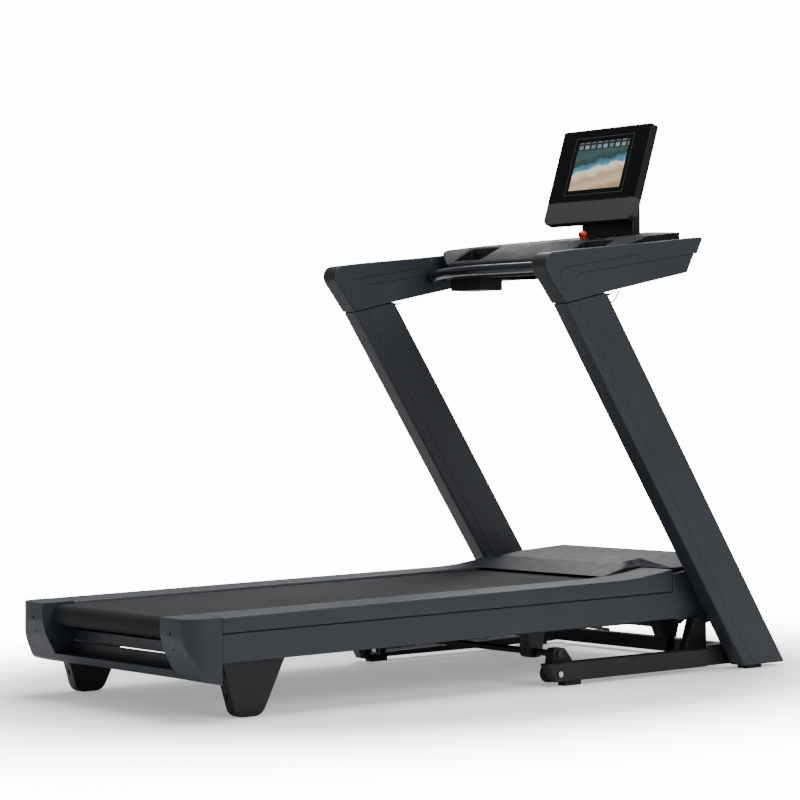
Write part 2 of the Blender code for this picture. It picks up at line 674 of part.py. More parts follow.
# ------------------------------------------------------------ lift frame and incline
def build_lift():
    """Lift frame that raises the deck, its fold axle and the incline actuator."""
    hinge = mover("lift_axis", LIFT_PIVOT)
    px, pz = PIVOT.x, PIVOT.z
    bx, bz = LIFT_PIVOT.x, LIFT_PIVOT.z
    y_in = LIFT_OUT - LIFT_ARM_WIDTH
    rear_pin = LIFT_PIVOT + Vector((0, ACTUATOR_Y, -ACTUATOR_LEVER))
    for label, s in sides():
        arm = side_plate(
            "lift_arm_" + label,
            rounded([(bx - 0.024, bz - 0.016), (bx + 0.024, bz - 0.016), (bx + 0.036, 0.136),
                     (px - 0.100, 0.136), (px - 0.075, 0.0885), (px - 0.026, 0.0885),
                     (px - 0.010, 0.138), (px + 0.022, 0.139), (px + 0.022, pz + 0.020),
                     (bx + 0.010, 0.178), (bx - 0.024, 0.160)],
                    [0.014, 0.014, 0, 0, 0, 0, 0, 0.014, 0.016, 0.020, 0.012], 3),
            s * y_in, s * (y_in + LIFT_ARM_WIDTH), painted("lift_arm"))
        lower = rod("lift_hole_" + label, (bx, s * (y_in - 0.01), bz),
                    (bx, s * (y_in + LIFT_ARM_WIDTH + 0.01), bz),
                    PIVOT_BAR_RADIUS + 0.0006, None, 24)
        upper = rod("axle_hole_" + label, (px, s * (y_in - 0.01), pz),
                    (px, s * (y_in + LIFT_ARM_WIDTH + 0.01), pz), AXLE_RADIUS + 0.0006,
                    None, 24)
        if label == "left":
            lever = side_plate("actuator_lever",
                               [(bx - 0.015, bz - 0.002), (bx - 0.010, rear_pin.z - 0.010),
                                (bx + 0.010, rear_pin.z - 0.010), (bx + 0.015, bz - 0.002)],
                               LIFT_OUT - 0.010, LIFT_OUT - 0.0004, None)
            pin = rod("lever_pin", rear_pin + Vector((0, LIFT_OUT - 0.005 - ACTUATOR_Y, 0)),
                      rear_pin + Vector((0, 0.008, 0)), 0.005, None, 16)
            join(arm, lever, pin)
        cut(arm, lower, upper)
        carry(hinge, arm)
    cross = hollow_bar("lift_cross_tube", (px - 0.068, LIFT_OUT, 0.052),
                       (px - 0.032, LIFT_OUT, 0.0882), 0.002)
    carry(hinge, cross)
    level = mover("level_axis", PIVOT, hinge)
    axle = rod("fold_axle", (px, -FRAME_OUT, pz), (px, FRAME_OUT, pz), AXLE_RADIUS,
               steel("fold_axle"), 24)
    carry(level, axle)

    # incline actuator: geared motor and screw on the front bar, pull tube on the lever
    low = Vector((TOE_X - 0.085, ACTUATOR_Y, 0.052))
    run = (rear_pin - low).normalized()
    reach = (rear_pin - low).length
    across = Vector((0, 1, 0))
    ear = side_plate("actuator_ear",
                     [(low.x - 0.012, low.z - 0.014), (TOE_X - 0.063, RAIL_BOTTOM + 0.006),
                      (TOE_X - 0.063, RAIL_BOTTOM + 0.036), (low.x - 0.002, low.z + 0.014)],
                     ACTUATOR_Y - 0.024, ACTUATOR_Y - 0.016, None)
    pin = rod("actuator_pin", low - across * 0.020, low + across * 0.012, 0.005, None, 16)
    join(bpy.data.objects["base_front_bar"], ear, pin)
    motor = rod("incline_motor", low + run * 0.016, low + run * 0.132, 0.019,
                black("incline_motor"), 24, 0.002)
    eye = rod("motor_eye", low - across * 0.013, low + across * 0.011, 0.012, None, 20)
    neck = rod("motor_neck", low + run * 0.006, low + run * 0.020, 0.008, None, 16)
    screw = rod("motor_screw", low + run * 0.120, low + run * 0.450, 0.005, None, 16)
    join(motor, eye, neck, screw)
    cut(motor, rod("eye_hole", low - across * 0.03, low + across * 0.03, 0.0056, None, 16))
    pull = rod("incline_pull_tube", low + run * 0.155, low + run * (reach - 0.008), 0.0095,
               steel("pull_tube"), 20)
    pull_eye = rod("pull_eye", rear_pin - across * 0.0105, rear_pin + across * 0.0065, 0.0125,
                   None, 20)
    join(pull, pull_eye)
    cut(pull, rod("pull_bore", low + run * 0.140, low + run * 0.500, 0.0060, None, 16),
        rod("pull_eye_hole", rear_pin - across * 0.02, rear_pin + across * 0.02, 0.0068,
            None, 20))
    turn = mover("incline_motor_axis", low)
    carry(turn, motor)
    slide = mover("incline_pull_axis", rear_pin, turn)
    carry(slide, pull)
    return hinge, level


# ------------------------------------------------------------ deck
def deck_floor(x):
    """Height in the level deck of the point that meets the floor once it is tilted."""
    return PIVOT_Z * (1 - 1 / math.cos(DECK_TILT)) + (PIVOT.x - x) * math.tan(DECK_TILT)


def build_deck(level):
    """Everything that folds up with the deck, modelled level and then tilted."""
    deck = mover("fold_axis", PIVOT, level)
    pieces = []
    r = REAR_X
    px, pz = PIVOT.x, PIVOT.z
    for label, s in sides():
        rail = side_box("frame_rail_" + label, (r + 0.090, px + 0.060),
                        (FRAME_IN, FRAME_OUT), (0.160, 0.215), s, painted("frame_rail"),
                        0.002)
        drop = side_plate("pivot_drop_" + label,
                          rounded([(px - 0.050, 0.170), (px - 0.024, pz - 0.020),
                                   (px + 0.024, pz - 0.020), (px + 0.050, 0.170),
                                   (px + 0.050, 0.205), (px - 0.050, 0.205)],
                                  [0, 0.012, 0.012, 0, 0, 0], 3),
                          s * FRAME_IN, s * FRAME_OUT, None)
        hole = rod("rail_axle_hole_" + label, (px, s * (FRAME_IN - 0.01), pz),
                   (px, s * (FRAME_OUT + 0.02), pz), AXLE_RADIUS + 0.0006, None, 24)
        core = side_box("frame_core_" + label, (r + 0.080, px - 0.055),
                        (FRAME_IN + TUBE_WALL, FRAME_OUT - TUBE_WALL),
                        (0.160 + TUBE_WALL, 0.215 - TUBE_WALL), s, None)
        join(rail, drop)
        cut(rail, core, hole)
        pieces.append(rail)

        panel_out = s * DECK_HALF
        skin = s * (FRAME_OUT + GAP)
        seam = 0.2275
        seam_x = TOE_X - 0.370
        panel = side_plate(
            "side_panel_" + label,
            rounded([(r + 0.0955, 0.1575), (seam_x, 0.1500), (px + 0.045, 0.1280),
                     (px + 0.110, 0.1950), (px + 0.110, 0.2940), (seam_x + GAP, 0.2750),
                     (seam_x + GAP, seam - 0.0035 - GAP), (r + 0.0955, seam - GAP)],
                    [0, 0, 0.020, 0, 0, 0, 0, 0], 3),
            skin, panel_out, slate("side_panel"), 0.003, 2)
        pieces.append(panel)

        # foot rail: flat landing that flares up at the hood
        top = 0.2680
        landing = side_plate(
            "foot_rail_" + label,
            [(r + 0.0955, seam), (TOE_X - 0.370 - GAP, seam - 0.0035),
             (TOE_X - 0.370 - GAP, top + 0.020), (TOE_X - 0.430, top + 0.012),
             (TOE_X - 0.500, top + 0.004), (TOE_X - 0.570, top + 0.001),
             (r + 0.0955, top)],
            s * LANDING_IN, panel_out, slate("foot_rail"), 0.006, 2)
        hollow = side_plate("landing_hollow_" + label,
                            [(r + 0.08, 0.20), (TOE_X - 0.30, 0.20),
                             (TOE_X - 0.30, top - 0.008), (r + 0.08, top - 0.008)],
                            s * (LANDING_IN - 0.022), s * (DECK_HALF - 0.006), None)
        cut(landing, hollow)
        pieces.append(landing)

        pieces.append(build_rear_cap(label, s))
        pieces.append(build_rear_foot(label, s))

    # cross members between the frame rails
    wide = FRAME_IN - GAP
    pieces.append(hollow_bar("rear_cross_member", (r + 0.0955, wide, 0.166),
                             (r + 0.1455, wide, 0.196), 0.002))
    # motor plate at the front, ahead of the axle
    plate = box("motor_plate", (px + 0.012, -0.275, 0.1765), (px + 0.1125, 0.275, 0.1815),
                painted("motor_plate"), 0.0, 1)
    pieces.append(plate)

    rear_roller_x = r + 0.0330 + ROLLER_RADIUS
    front_roller_x = px - 0.0915 - ROLLER_RADIUS
    board_top = ROLLER_Z + ROLLER_RADIUS - 0.0006
    pieces.append(box("running_deck", (rear_roller_x + ROLLER_RADIUS + 0.0245, -BOARD_HALF,
                                       board_top - BOARD_THICK),
                      (front_roller_x - ROLLER_RADIUS - 0.0245, BOARD_HALF, board_top),
                      black("running_deck"), 0.0, 1))
    pieces.append(build_belt(rear_roller_x, front_roller_x, ROLLER_Z))
    build_rollers(deck, rear_roller_x, front_roller_x, ROLLER_Z)
    pieces += build_hood(px)
    pieces += build_drive(deck, front_roller_x, ROLLER_Z, px)
    pieces.append(build_rear_bar())
    carry(deck, *pieces)
    build_strut(deck, px, pz)
    deck.rotation_euler = (0.0, -DECK_TILT, 0.0)


def cap_profile():
    """Side outline of a rear cap and the bar between the caps."""
    r = REAR_X
    return rounded(
        [(r, 0.2680), (r, 0.2250), (r + 0.010, 0.1880), (r + 0.048, 0.1180),
         (r + 0.095, 0.1060), (r + 0.095, 0.2680)],
        [0.004, 0.030, 0.060, 0.026, 0.0, 0.0], 5)


def build_rear_cap(label, s):
    """Corner cap with a rounded outer corner and two screw pockets."""
    cap = side_plate("rear_cap_" + label, cap_profile(), s * LANDING_IN, s * DECK_HALF,
                     slate("rear_cap"), 0.0)
    corner = 0.055
    keep = flat_plate("cap_corner_" + label,
                      rounded([(REAR_X - 0.001, s * 0.20), (REAR_X + 0.20, s * 0.20),
                               (REAR_X + 0.20, s * DECK_HALF), (REAR_X, s * DECK_HALF)],
                              [0, 0, 0, corner], 6), 0.05, 0.30, None, where=CUTTERS)
    step = cap.modifiers.new("corner", "BOOLEAN")
    step.operation = "INTERSECT"
    step.object = keep
    step.solver = "EXACT"
    keep.hide_render = True
    keep.display_type = "WIRE"
    mouth = side_plate("cap_mouth_" + label,
                       [(REAR_X + 0.012, 0.2610), (REAR_X + 0.012, 0.2220),
                        (REAR_X + 0.026, 0.1860), (REAR_X + 0.058, 0.1300),
                        (REAR_X + 0.120, 0.1200), (REAR_X + 0.120, 0.2610)],
                       s * (LANDING_IN + 0.012), s * (DECK_HALF - 0.030), None,
                       where=CUTTERS)
    slot = side_box("adjuster_slot_" + label,
                    (REAR_X + 0.0230 + ROLLER_RADIUS, REAR_X + 0.12),
                    (LANDING_IN - 0.02, LANDING_IN + 0.02),
                    (ROLLER_Z - 0.008, ROLLER_Z + 0.008), s, None)
    socket = side_box("cap_socket_" + label, (REAR_X + 0.058, REAR_X + 0.12),
                      (LANDING_IN + 0.012, DECK_HALF - 0.006), (0.130, 0.2610), s, None)
    cut(cap, mouth, slot, socket)
    for k, (x, z) in enumerate(((0.0, 0.230), (0.006, 0.192))):
        pocket = rod(f"cap_screw_{label}_{k}", (REAR_X + x - 0.01, s * 0.304, z),
                     (REAR_X + x + 0.005, s * 0.304, z), 0.004, None, 12)
        cut(cap, pocket)
    soften(cap, 0.0025, 2, 40)
    return cap


def build_rear_bar():
    """Bumper bar that joins the rear caps, with the upright web behind it."""
    r = REAR_X
    return side_plate(
        "rear_bar",
        rounded([(r + 0.034, 0.1380), (r + 0.050, 0.1180), (r + 0.095, 0.1070),
                 (r + 0.095, 0.1655), (r + 0.0915, 0.1655), (r + 0.0915, 0.1175),
                 (r + 0.070, 0.1290), (r + 0.046, 0.1400)],
                [0.0, 0.012, 0, 0, 0, 0, 0, 0], 3),
        -LANDING_IN + GAP, LANDING_IN - GAP, slate("rear_bar"))


def build_rear_foot(label, s):
    """Rubber shod leg that the deck's tail stands on."""
    r = REAR_X
    return side_plate(
        "rear_foot_" + label,
        rounded([(r + 0.108, 0.1597), (r + 0.148, deck_floor(r + 0.148)),
                 (r + 0.226, deck_floor(r + 0.226)), (r + 0.300, 0.1597)],
                [0, 0.030, 0.034, 0], 5),
        s * (FRAME_OUT - 0.036), s * (FRAME_OUT - GAP), black("rear_foot"), 0.003, 2)


def build_belt(rear_x, front_x, z):
    """Endless running belt round both rollers, a closed loop with a real thickness."""
    outer_r = ROLLER_RADIUS + GAP + BELT_THICK
    inner_r = ROLLER_RADIUS + GAP
    steps = 16

    def loop(radius):
        points = []
        for cx, first in ((rear_x, 90.0), (front_x, -90.0)):
            for k in range(steps + 1):
                a = math.radians(first + 180.0 * k / steps)
                points.append((cx + radius * math.cos(a), z + radius * math.sin(a)))
        return points

    belt = side_plate("running_belt", loop(outer_r), -BELT_HALF, BELT_HALF,
                      rubber("running_belt"))
    inside = side_plate("belt_inside", loop(inner_r), -BELT_HALF - 0.01,
                        BELT_HALF + 0.01, None, where=CUTTERS)
    return cut(belt, inside)


def build_rollers(deck, rear_x, front_x, z):
    """Rollers with their stub shafts, each on its own spin axis."""
    for name, x in (("rear_roller", rear_x), ("front_roller", front_x)):
        body = rod(name, (x, -BELT_HALF - 0.002, z), (x, BELT_HALF + 0.002, z),
                   ROLLER_RADIUS, steel(name), 32)
        shaft = rod(name + "_shaft", (x, -LANDING_IN - 0.019, z),
                    (x, LANDING_IN + 0.019, z), 0.0065, None, 16)
        join(body, shaft)
        axis = mover(name + "_axis", (x, 0.0, z), deck)
        carry(axis, body)
        if name == "front_roller":
            wheel = rod("roller_pulley", (x, BELT_HALF + 0.006, z),
                        (x, BELT_HALF + 0.025, z), 0.0215, None, 32)
            join(body, wheel)


def build_hood(px):
    """Motor hood: a narrow apron over the belt and a wide shell over the drive."""
    rear = px - 0.252
    front = px + 0.124
    step_x = TOE_X - 0.370 + 2 * GAP
    half, apron, wall = FRAME_OUT - 0.0007, LANDING_IN - GAP, 0.004
    low, sill = 0.2000, 0.2155
    outer = rounded(
        [(rear, 0.2695), (rear + 0.085, 0.3010), (px - 0.085, 0.3120),
         (front - 0.030, 0.3200), (front, 0.2800), (front, low), (px + 0.064, low),
         (px + 0.064, sill), (px - 0.085, sill), (px - 0.085, 0.2695)],
        [0.0, 0.030, 0.040, 0.030, 0.030, 0, 0, 0, 0, 0], 3)
    hood = side_plate("motor_hood", outer, -half, half, slate("hood"))
    plan = flat_plate("hood_plan",
                      [(rear - 0.02, -apron), (step_x, -apron), (step_x, -half - 0.01),
                       (front + 0.01, -half - 0.01), (front + 0.01, half + 0.01),
                       (step_x, half + 0.01), (step_x, apron), (rear - 0.02, apron)],
                      0.10, 0.40, None)
    boolean(hood, plan, "INTERSECT")
    roof = [(px - 0.082, 0.3120 - wall), (front - 0.033, 0.3200 - wall),
            (front - wall * 1.2, 0.2770), (front - wall * 1.2, 0.10)]
    narrow = side_plate("hood_hollow_narrow",
                        [(rear + 0.030, 0.2725), (rear + 0.088, 0.3010 - wall)] + roof
                        + [(rear + 0.030, 0.10)], -apron + wall, apron - wall, None)
    wide = side_plate("hood_hollow_wide",
                      [(step_x + wall, 0.3030 - wall)] + roof + [(step_x + wall, 0.10)],
                      -half + wall, half - wall, None)
    cut(hood, narrow, wide)
    soften(hood, 0.003, 2, 40)
    return [hood]


def build_drive(deck, front_x, z, px):
    """Drive motor with flywheel pulley, flat drive belt, controller and belly pan."""
    mx, mz, my = px + 0.058, 0.2345, BELT_HALF
    motor = rod("drive_motor", (mx, my - 0.234, mz), (mx, my - 0.039, mz), 0.046,
                black("drive_motor"), 32, 0.003)
    bore = rod("motor_bore", (mx, my - 0.074, mz), (mx, my - 0.024, mz), 0.0085, None, 16)
    foot = box("motor_foot", (mx - 0.032, my - 0.204, 0.1818), (mx + 0.032, my - 0.069, 0.196),
               None)
    join(motor, foot)
    cut(motor, bore)
    wheel = rod("flywheel_pulley", (mx, my - 0.036, mz), (mx, my + 0.001, mz), 0.040,
                painted("flywheel"), 32)
    groove = rod("pulley_rim", (mx, my + 0.0008, mz), (mx, my + 0.0255, mz), 0.0160,
                 None, 28)
    stub = rod("motor_shaft", (mx, my - 0.059, mz), (mx, my - 0.0358, mz), 0.0075,
               None, 16)
    join(wheel, groove, stub)
    axis = mover("flywheel_axis", (mx, 0.0, mz), deck)
    carry(axis, wheel)

    thick = 0.0022
    small, large = 0.0160 + GAP, 0.0215 + GAP

    def run(extra):
        points = []
        for cx, cz, radius, first in ((front_x, z, large, 90.0), (mx, mz, small, -90.0)):
            for k in range(13):
                a = math.radians(first + 180.0 * k / 12)
                points.append((cx + (radius + extra) * math.cos(a),
                               cz + (radius + extra) * math.sin(a)))
        return points

    belt = side_plate("drive_belt", run(thick), my + 0.008, my + 0.0235,
                      rubber("drive_belt"))
    inside = side_plate("drive_belt_inside", run(0.0), my, my + 0.04, None,
                        where=CUTTERS)
    cut(belt, inside)
    board = box("motor_controller", (px + 0.022, -0.235, 0.1818), (px + 0.100, -0.075, 0.225),
                material("controller_green", (0.03, 0.09, 0.05), 0.5), 0.002, 1)
    pan = side_plate("belly_pan",
                     [(px - 0.080, 0.1190), (px + 0.040, 0.1190), (px + 0.118, 0.1640),
                      (px + 0.118, 0.1668), (px + 0.038, 0.1220), (px - 0.080, 0.1220)],
                     -0.2790, 0.2790, black("belly_pan"))
    inlet = box("power_inlet", (px + 0.1245, -0.250, 0.198), (px + 0.134, -0.205, 0.228),
                black("power_inlet"), 0.001, 1)
    socket = box("inlet_socket", (px + 0.128, -0.243, 0.204), (px + 0.140, -0.212, 0.222),
                 None)
    cut(inlet, socket)
    return [motor, belt, board, pan, inlet]


def build_strut(deck, px, pz):
    """Fold-assist gas strut: cylinder hinged on the lift cross tube, rod in its bore."""
    top = Vector((px - 0.480, -0.12, 0.172))
    low = Vector((px - 0.085, -0.12, 0.100))
    run = (low - top).normalized()
    body = rod("strut_cylinder", top + run * 0.012, top + run * 0.235, 0.011,
               painted("strut_cylinder"), 20)
    bore = rod("strut_bore", top + run * 0.030, top + run * 0.250, 0.0062, None, 16)
    cut(body, bore)
    piston = rod("strut_rod", top + run * 0.040, low - run * 0.006, 0.0045,
                 steel("strut_rod"), 16)
    hinge = mover("strut_axis", top, deck)
    carry(hinge, body)
    slide = mover("strut_rod_axis", top + run * 0.040, hinge)
    carry(slide, piston)


def main():
    """Build the whole machine."""
    clear_scene()
    build_base()
    build_uprights()
    build_arms()
    build_console()
    _, level = build_lift()
    build_deck(level)
    for cutter in collection(CUTTERS).objects:
        cutter.hide_render = True
        cutter.display_type = "WIRE"


main()
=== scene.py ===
"""The treadmill's finished look: refined shells, seams, fittings, screen picture and studio.

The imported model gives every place.  +X is the way the runner faces, +Y the runner's left
and +Z is up; lengths are metres.
"""
import logging
import math
from dataclasses import dataclass
from enum import Enum
from typing import Callable, Optional, Sequence

import bpy
from mathutils import Matrix, Vector


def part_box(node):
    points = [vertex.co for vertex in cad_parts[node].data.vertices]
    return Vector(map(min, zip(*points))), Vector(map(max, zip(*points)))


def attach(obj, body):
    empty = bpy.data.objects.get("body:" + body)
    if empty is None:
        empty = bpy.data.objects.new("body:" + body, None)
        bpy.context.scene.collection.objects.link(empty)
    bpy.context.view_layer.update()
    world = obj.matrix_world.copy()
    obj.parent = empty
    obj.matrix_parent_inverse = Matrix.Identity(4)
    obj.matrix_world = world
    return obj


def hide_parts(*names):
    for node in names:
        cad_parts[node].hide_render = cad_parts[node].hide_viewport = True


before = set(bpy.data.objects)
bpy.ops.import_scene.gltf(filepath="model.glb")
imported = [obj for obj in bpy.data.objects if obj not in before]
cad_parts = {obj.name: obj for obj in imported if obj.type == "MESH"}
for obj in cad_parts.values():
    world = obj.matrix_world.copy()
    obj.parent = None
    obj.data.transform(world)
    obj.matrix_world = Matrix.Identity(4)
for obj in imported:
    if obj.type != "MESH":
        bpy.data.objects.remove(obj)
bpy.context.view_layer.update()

LOG = logging.getLogger("treadmill")
Point = tuple[float, float, float]
SOFT_BREAK = 34.0       # edges below this angle, in degrees, are shaded smooth on a cut shell


class Side(Enum):
    """The runner's left and right, by the sign of y."""

    LEFT = 1.0
    RIGHT = -1.0

    @property
    def label(self) -> str:
        """The word that ends the names of this side's nodes."""
        return self.name.lower()

    def node(self, base: str) -> str:
        """The name of this side's node of a pair."""
        return f"{base}_{self.label}"


def faces_of(side: Side, low: Vector, high: Vector) -> tuple[float, float]:
    """The y of a piece's outer and inner faces, from the corners of its box."""
    reach = (abs(low.y), abs(high.y))
    return side.value * max(reach), side.value * min(reach)


class Axis(Enum):
    """A row axis, by its place in a point."""

    X = 0
    Y = 1
    Z = 2


# ------------------------------------------------------------ finishes
class NodeSheet:
    """A material's node tree, built a node at a time round its Principled shader."""

    def __init__(self, name: str) -> None:
        """Start a material.

        Args:
            name: the material's name.
        """
        self.material = bpy.data.materials.new(name)
        self.material.use_nodes = True
        self.tree = self.material.node_tree
        self.shader = self.tree.nodes["Principled BSDF"]

    def add(self, kind: str, **settings: object) -> bpy.types.Node:
        """Add a node.

        Args:
            kind: the node's type name.
            settings: attributes of the node.

        Returns:
            The new node.
        """
        node = self.tree.nodes.new(kind)
        for key, value in settings.items():
            setattr(node, key, value)
        return node

    def link(self, source: bpy.types.NodeSocket, target: bpy.types.NodeSocket) -> None:
        """Join an output socket to an input socket."""
        self.tree.links.new(source, target)

    def coordinates(self, scale: Point = (1.0, 1.0, 1.0)) -> bpy.types.NodeSocket:
        """Object coordinates through a Mapping node.

        Args:
            scale: the stretch along each axis.

        Returns:
            The mapped vector's socket.
        """
        place = self.add("ShaderNodeTexCoord")
        mapping = self.add("ShaderNodeMapping")
        mapping.inputs["Scale"].default_value = scale
        self.link(place.outputs["Object"], mapping.inputs["Vector"])
        return mapping.outputs["Vector"]

    def noise(self, vector: bpy.types.NodeSocket, scale: float,
              detail: float = 3.0) -> bpy.types.NodeSocket:
        """A noise texture's factor at a scale."""
        texture = self.add("ShaderNodeTexNoise")
        texture.inputs["Scale"].default_value = scale
        texture.inputs["Detail"].default_value = detail
        self.link(vector, texture.inputs["Vector"])
        return texture.outputs["Fac"]

    def ramp(self, factor: bpy.types.NodeSocket,
             stops: Sequence[tuple[float, tuple[float, float, float]]]) -> bpy.types.NodeSocket:
        """A colour ramp through the given stops."""
        node = self.add("ShaderNodeValToRGB")
        elements = node.color_ramp.elements
        while len(elements) < len(stops):
            elements.new(0.5)
        for element, (place, colour) in zip(elements, stops):
            element.position = place
            element.color = (*colour, 1.0)
        self.link(factor, node.inputs["Fac"])
        return node.outputs["Color"]

    def spread(self, factor: bpy.types.NodeSocket, low: float,
               high: float) -> bpy.types.NodeSocket:
        """The factor's middle range, spread over another range."""
        node = self.add("ShaderNodeMapRange")
        node.inputs["From Min"].default_value = 0.3
        node.inputs["From Max"].default_value = 0.7
        node.inputs["To Min"].default_value = low
        node.inputs["To Max"].default_value = high
        self.link(factor, node.inputs["Value"])
        return node.outputs["Result"]

    def bump(self, height: bpy.types.NodeSocket, strength: float, distance: float,
             below: Optional[bpy.types.NodeSocket] = None) -> bpy.types.NodeSocket:
        """A bump from a height, laid over another when one is given."""
        node = self.add("ShaderNodeBump")
        node.inputs["Strength"].default_value = strength
        node.inputs["Distance"].default_value = distance
        self.link(height, node.inputs["Height"])
        if below is not None:
            self.link(below, node.inputs["Normal"])
        return node.outputs["Normal"]


def shade(colour: tuple[float, float, float], share: float) -> tuple[float, float, float]:
    """A colour made lighter or darker by a share."""
    return tuple(min(1.0, channel * share) for channel in colour)


@dataclass(frozen=True)
class Moulding:
    """Moulded plastic or paint: a fine grain over a slow mottling of colour and gloss.

    Attributes:
        name: the material's name.
        colour: the middle of its colour range.
        roughness: the middle of its gloss range.
        grain: grains to a metre.
        grain_depth: height of the grain.
        mottle: how far the colour strays, as a share.
        metallic: metal share of the surface.
        coat: strength of a clear coat.
        shine: level of its mirror light, where 0.5 is plain plastic.
    """

    name: str
    colour: tuple[float, float, float]
    roughness: float
    grain: float = 900.0
    grain_depth: float = 0.00004
    mottle: float = 0.10
    metallic: float = 0.0
    coat: float = 0.0
    shine: float = 0.32

    def material(self) -> bpy.types.Material:
        """Build the node material."""
        sheet = NodeSheet(self.name)
        vector = sheet.coordinates()
        slow = sheet.noise(vector, 6.0, 4.0)
        fine = sheet.noise(vector, self.grain, 2.0)
        sheet.link(sheet.ramp(slow, ((0.30, shade(self.colour, 1.0 - self.mottle)),
                                     (0.70, shade(self.colour, 1.0 + self.mottle)))),
                   sheet.shader.inputs["Base Color"])
        rub = sheet.noise(vector, 28.0, 5.0)
        sheet.link(sheet.spread(rub, self.roughness - 0.04, self.roughness + 0.05),
                   sheet.shader.inputs["Roughness"])
        sheet.link(sheet.bump(fine, 0.55, self.grain_depth), sheet.shader.inputs["Normal"])
        sheet.shader.inputs["Metallic"].default_value = self.metallic
        sheet.shader.inputs["Coat Weight"].default_value = self.coat
        sheet.shader.inputs["Specular IOR Level"].default_value = self.shine
        return sheet.material


@dataclass(frozen=True)
class Drawn:
    """Bare metal with brushing along one axis.

    Attributes:
        name: the material's name.
        colour: the metal's colour.
        roughness: the middle of its gloss range.
        along: the axis that the brushing follows.
    """

    name: str
    colour: tuple[float, float, float]
    roughness: float
    along: Axis = Axis.Y

    def material(self) -> bpy.types.Material:
        """Build the node material."""
        sheet = NodeSheet(self.name)
        scale = [260.0, 260.0, 260.0]
        scale[self.along.value] = 6.0
        streaks = sheet.noise(sheet.coordinates(tuple(scale)), 3.0, 5.0)
        sheet.link(sheet.ramp(streaks, ((0.25, shade(self.colour, 0.86)),
                                        (0.75, shade(self.colour, 1.10)))),
                   sheet.shader.inputs["Base Color"])
        sheet.link(sheet.spread(streaks, self.roughness - 0.05, self.roughness + 0.08),
                   sheet.shader.inputs["Roughness"])
        sheet.link(sheet.bump(streaks, 0.25, 0.00004), sheet.shader.inputs["Normal"])
        sheet.shader.inputs["Metallic"].default_value = 1.0
        return sheet.material


@dataclass(frozen=True)
class Weave:
    """The running belt's face: a crossed low rib with dust in it.

    Attributes:
        name: the material's name.
        colour: the belt's colour.
        pitch: distance between ribs.
    """

    name: str
    colour: tuple[float, float, float]
    pitch: float = 0.0022

    def rib(self, sheet: NodeSheet, vector: bpy.types.NodeSocket,
            direction: str) -> bpy.types.NodeSocket:
        """One set of ribs, as a wave across a direction."""
        wave = sheet.add("ShaderNodeTexWave", wave_type="BANDS", bands_direction=direction)
        wave.inputs["Scale"].default_value = math.tau / 20.0 / self.pitch
        wave.inputs["Distortion"].default_value = 0.6
        wave.inputs["Detail"].default_value = 1.0
        sheet.link(vector, wave.inputs["Vector"])
        return wave.outputs["Fac"]

    def material(self) -> bpy.types.Material:
        """Build the node material."""
        sheet = NodeSheet(self.name)
        vector = sheet.coordinates()
        cross = sheet.add("ShaderNodeMath", operation="MULTIPLY")
        sheet.link(self.rib(sheet, vector, "X"), cross.inputs[0])
        sheet.link(self.rib(sheet, vector, "Y"), cross.inputs[1])
        wear = sheet.noise(vector, 3.0, 6.0)
        sheet.link(sheet.ramp(wear, ((0.30, shade(self.colour, 0.80)),
                                     (0.72, shade(self.colour, 1.30)))),
                   sheet.shader.inputs["Base Color"])
        speckle = sheet.noise(vector, 1400.0, 1.0)
        low = sheet.bump(speckle, 0.3, 0.00003)
        sheet.link(sheet.bump(cross.outputs["Value"], 0.6, 0.00012, low),
                   sheet.shader.inputs["Normal"])
        sheet.link(sheet.spread(wear, 0.60, 0.74), sheet.shader.inputs["Roughness"])
        sheet.shader.inputs["Specular IOR Level"].default_value = 0.15
        return sheet.material


@dataclass(frozen=True)
class Board:
    """Wood board or circuit board: layers or tracks as thin bands.

    Attributes:
        name: the material's name.
        light: the bands' lighter colour.
        dark: the bands' darker colour.
        bands: bands to a metre, up the board.
    """

    name: str
    light: tuple[float, float, float]
    dark: tuple[float, float, float]
    bands: float

    def material(self) -> bpy.types.Material:
        """Build the node material."""
        sheet = NodeSheet(self.name)
        vector = sheet.coordinates((8.0, 8.0, self.bands))
        layers = sheet.noise(vector, 1.0, 6.0)
        sheet.link(sheet.ramp(layers, ((0.40, self.dark), (0.60, self.light))),
                   sheet.shader.inputs["Base Color"])
        sheet.link(sheet.bump(layers, 0.2, 0.0001), sheet.shader.inputs["Normal"])
        sheet.shader.inputs["Roughness"].default_value = 0.55
        return sheet.material


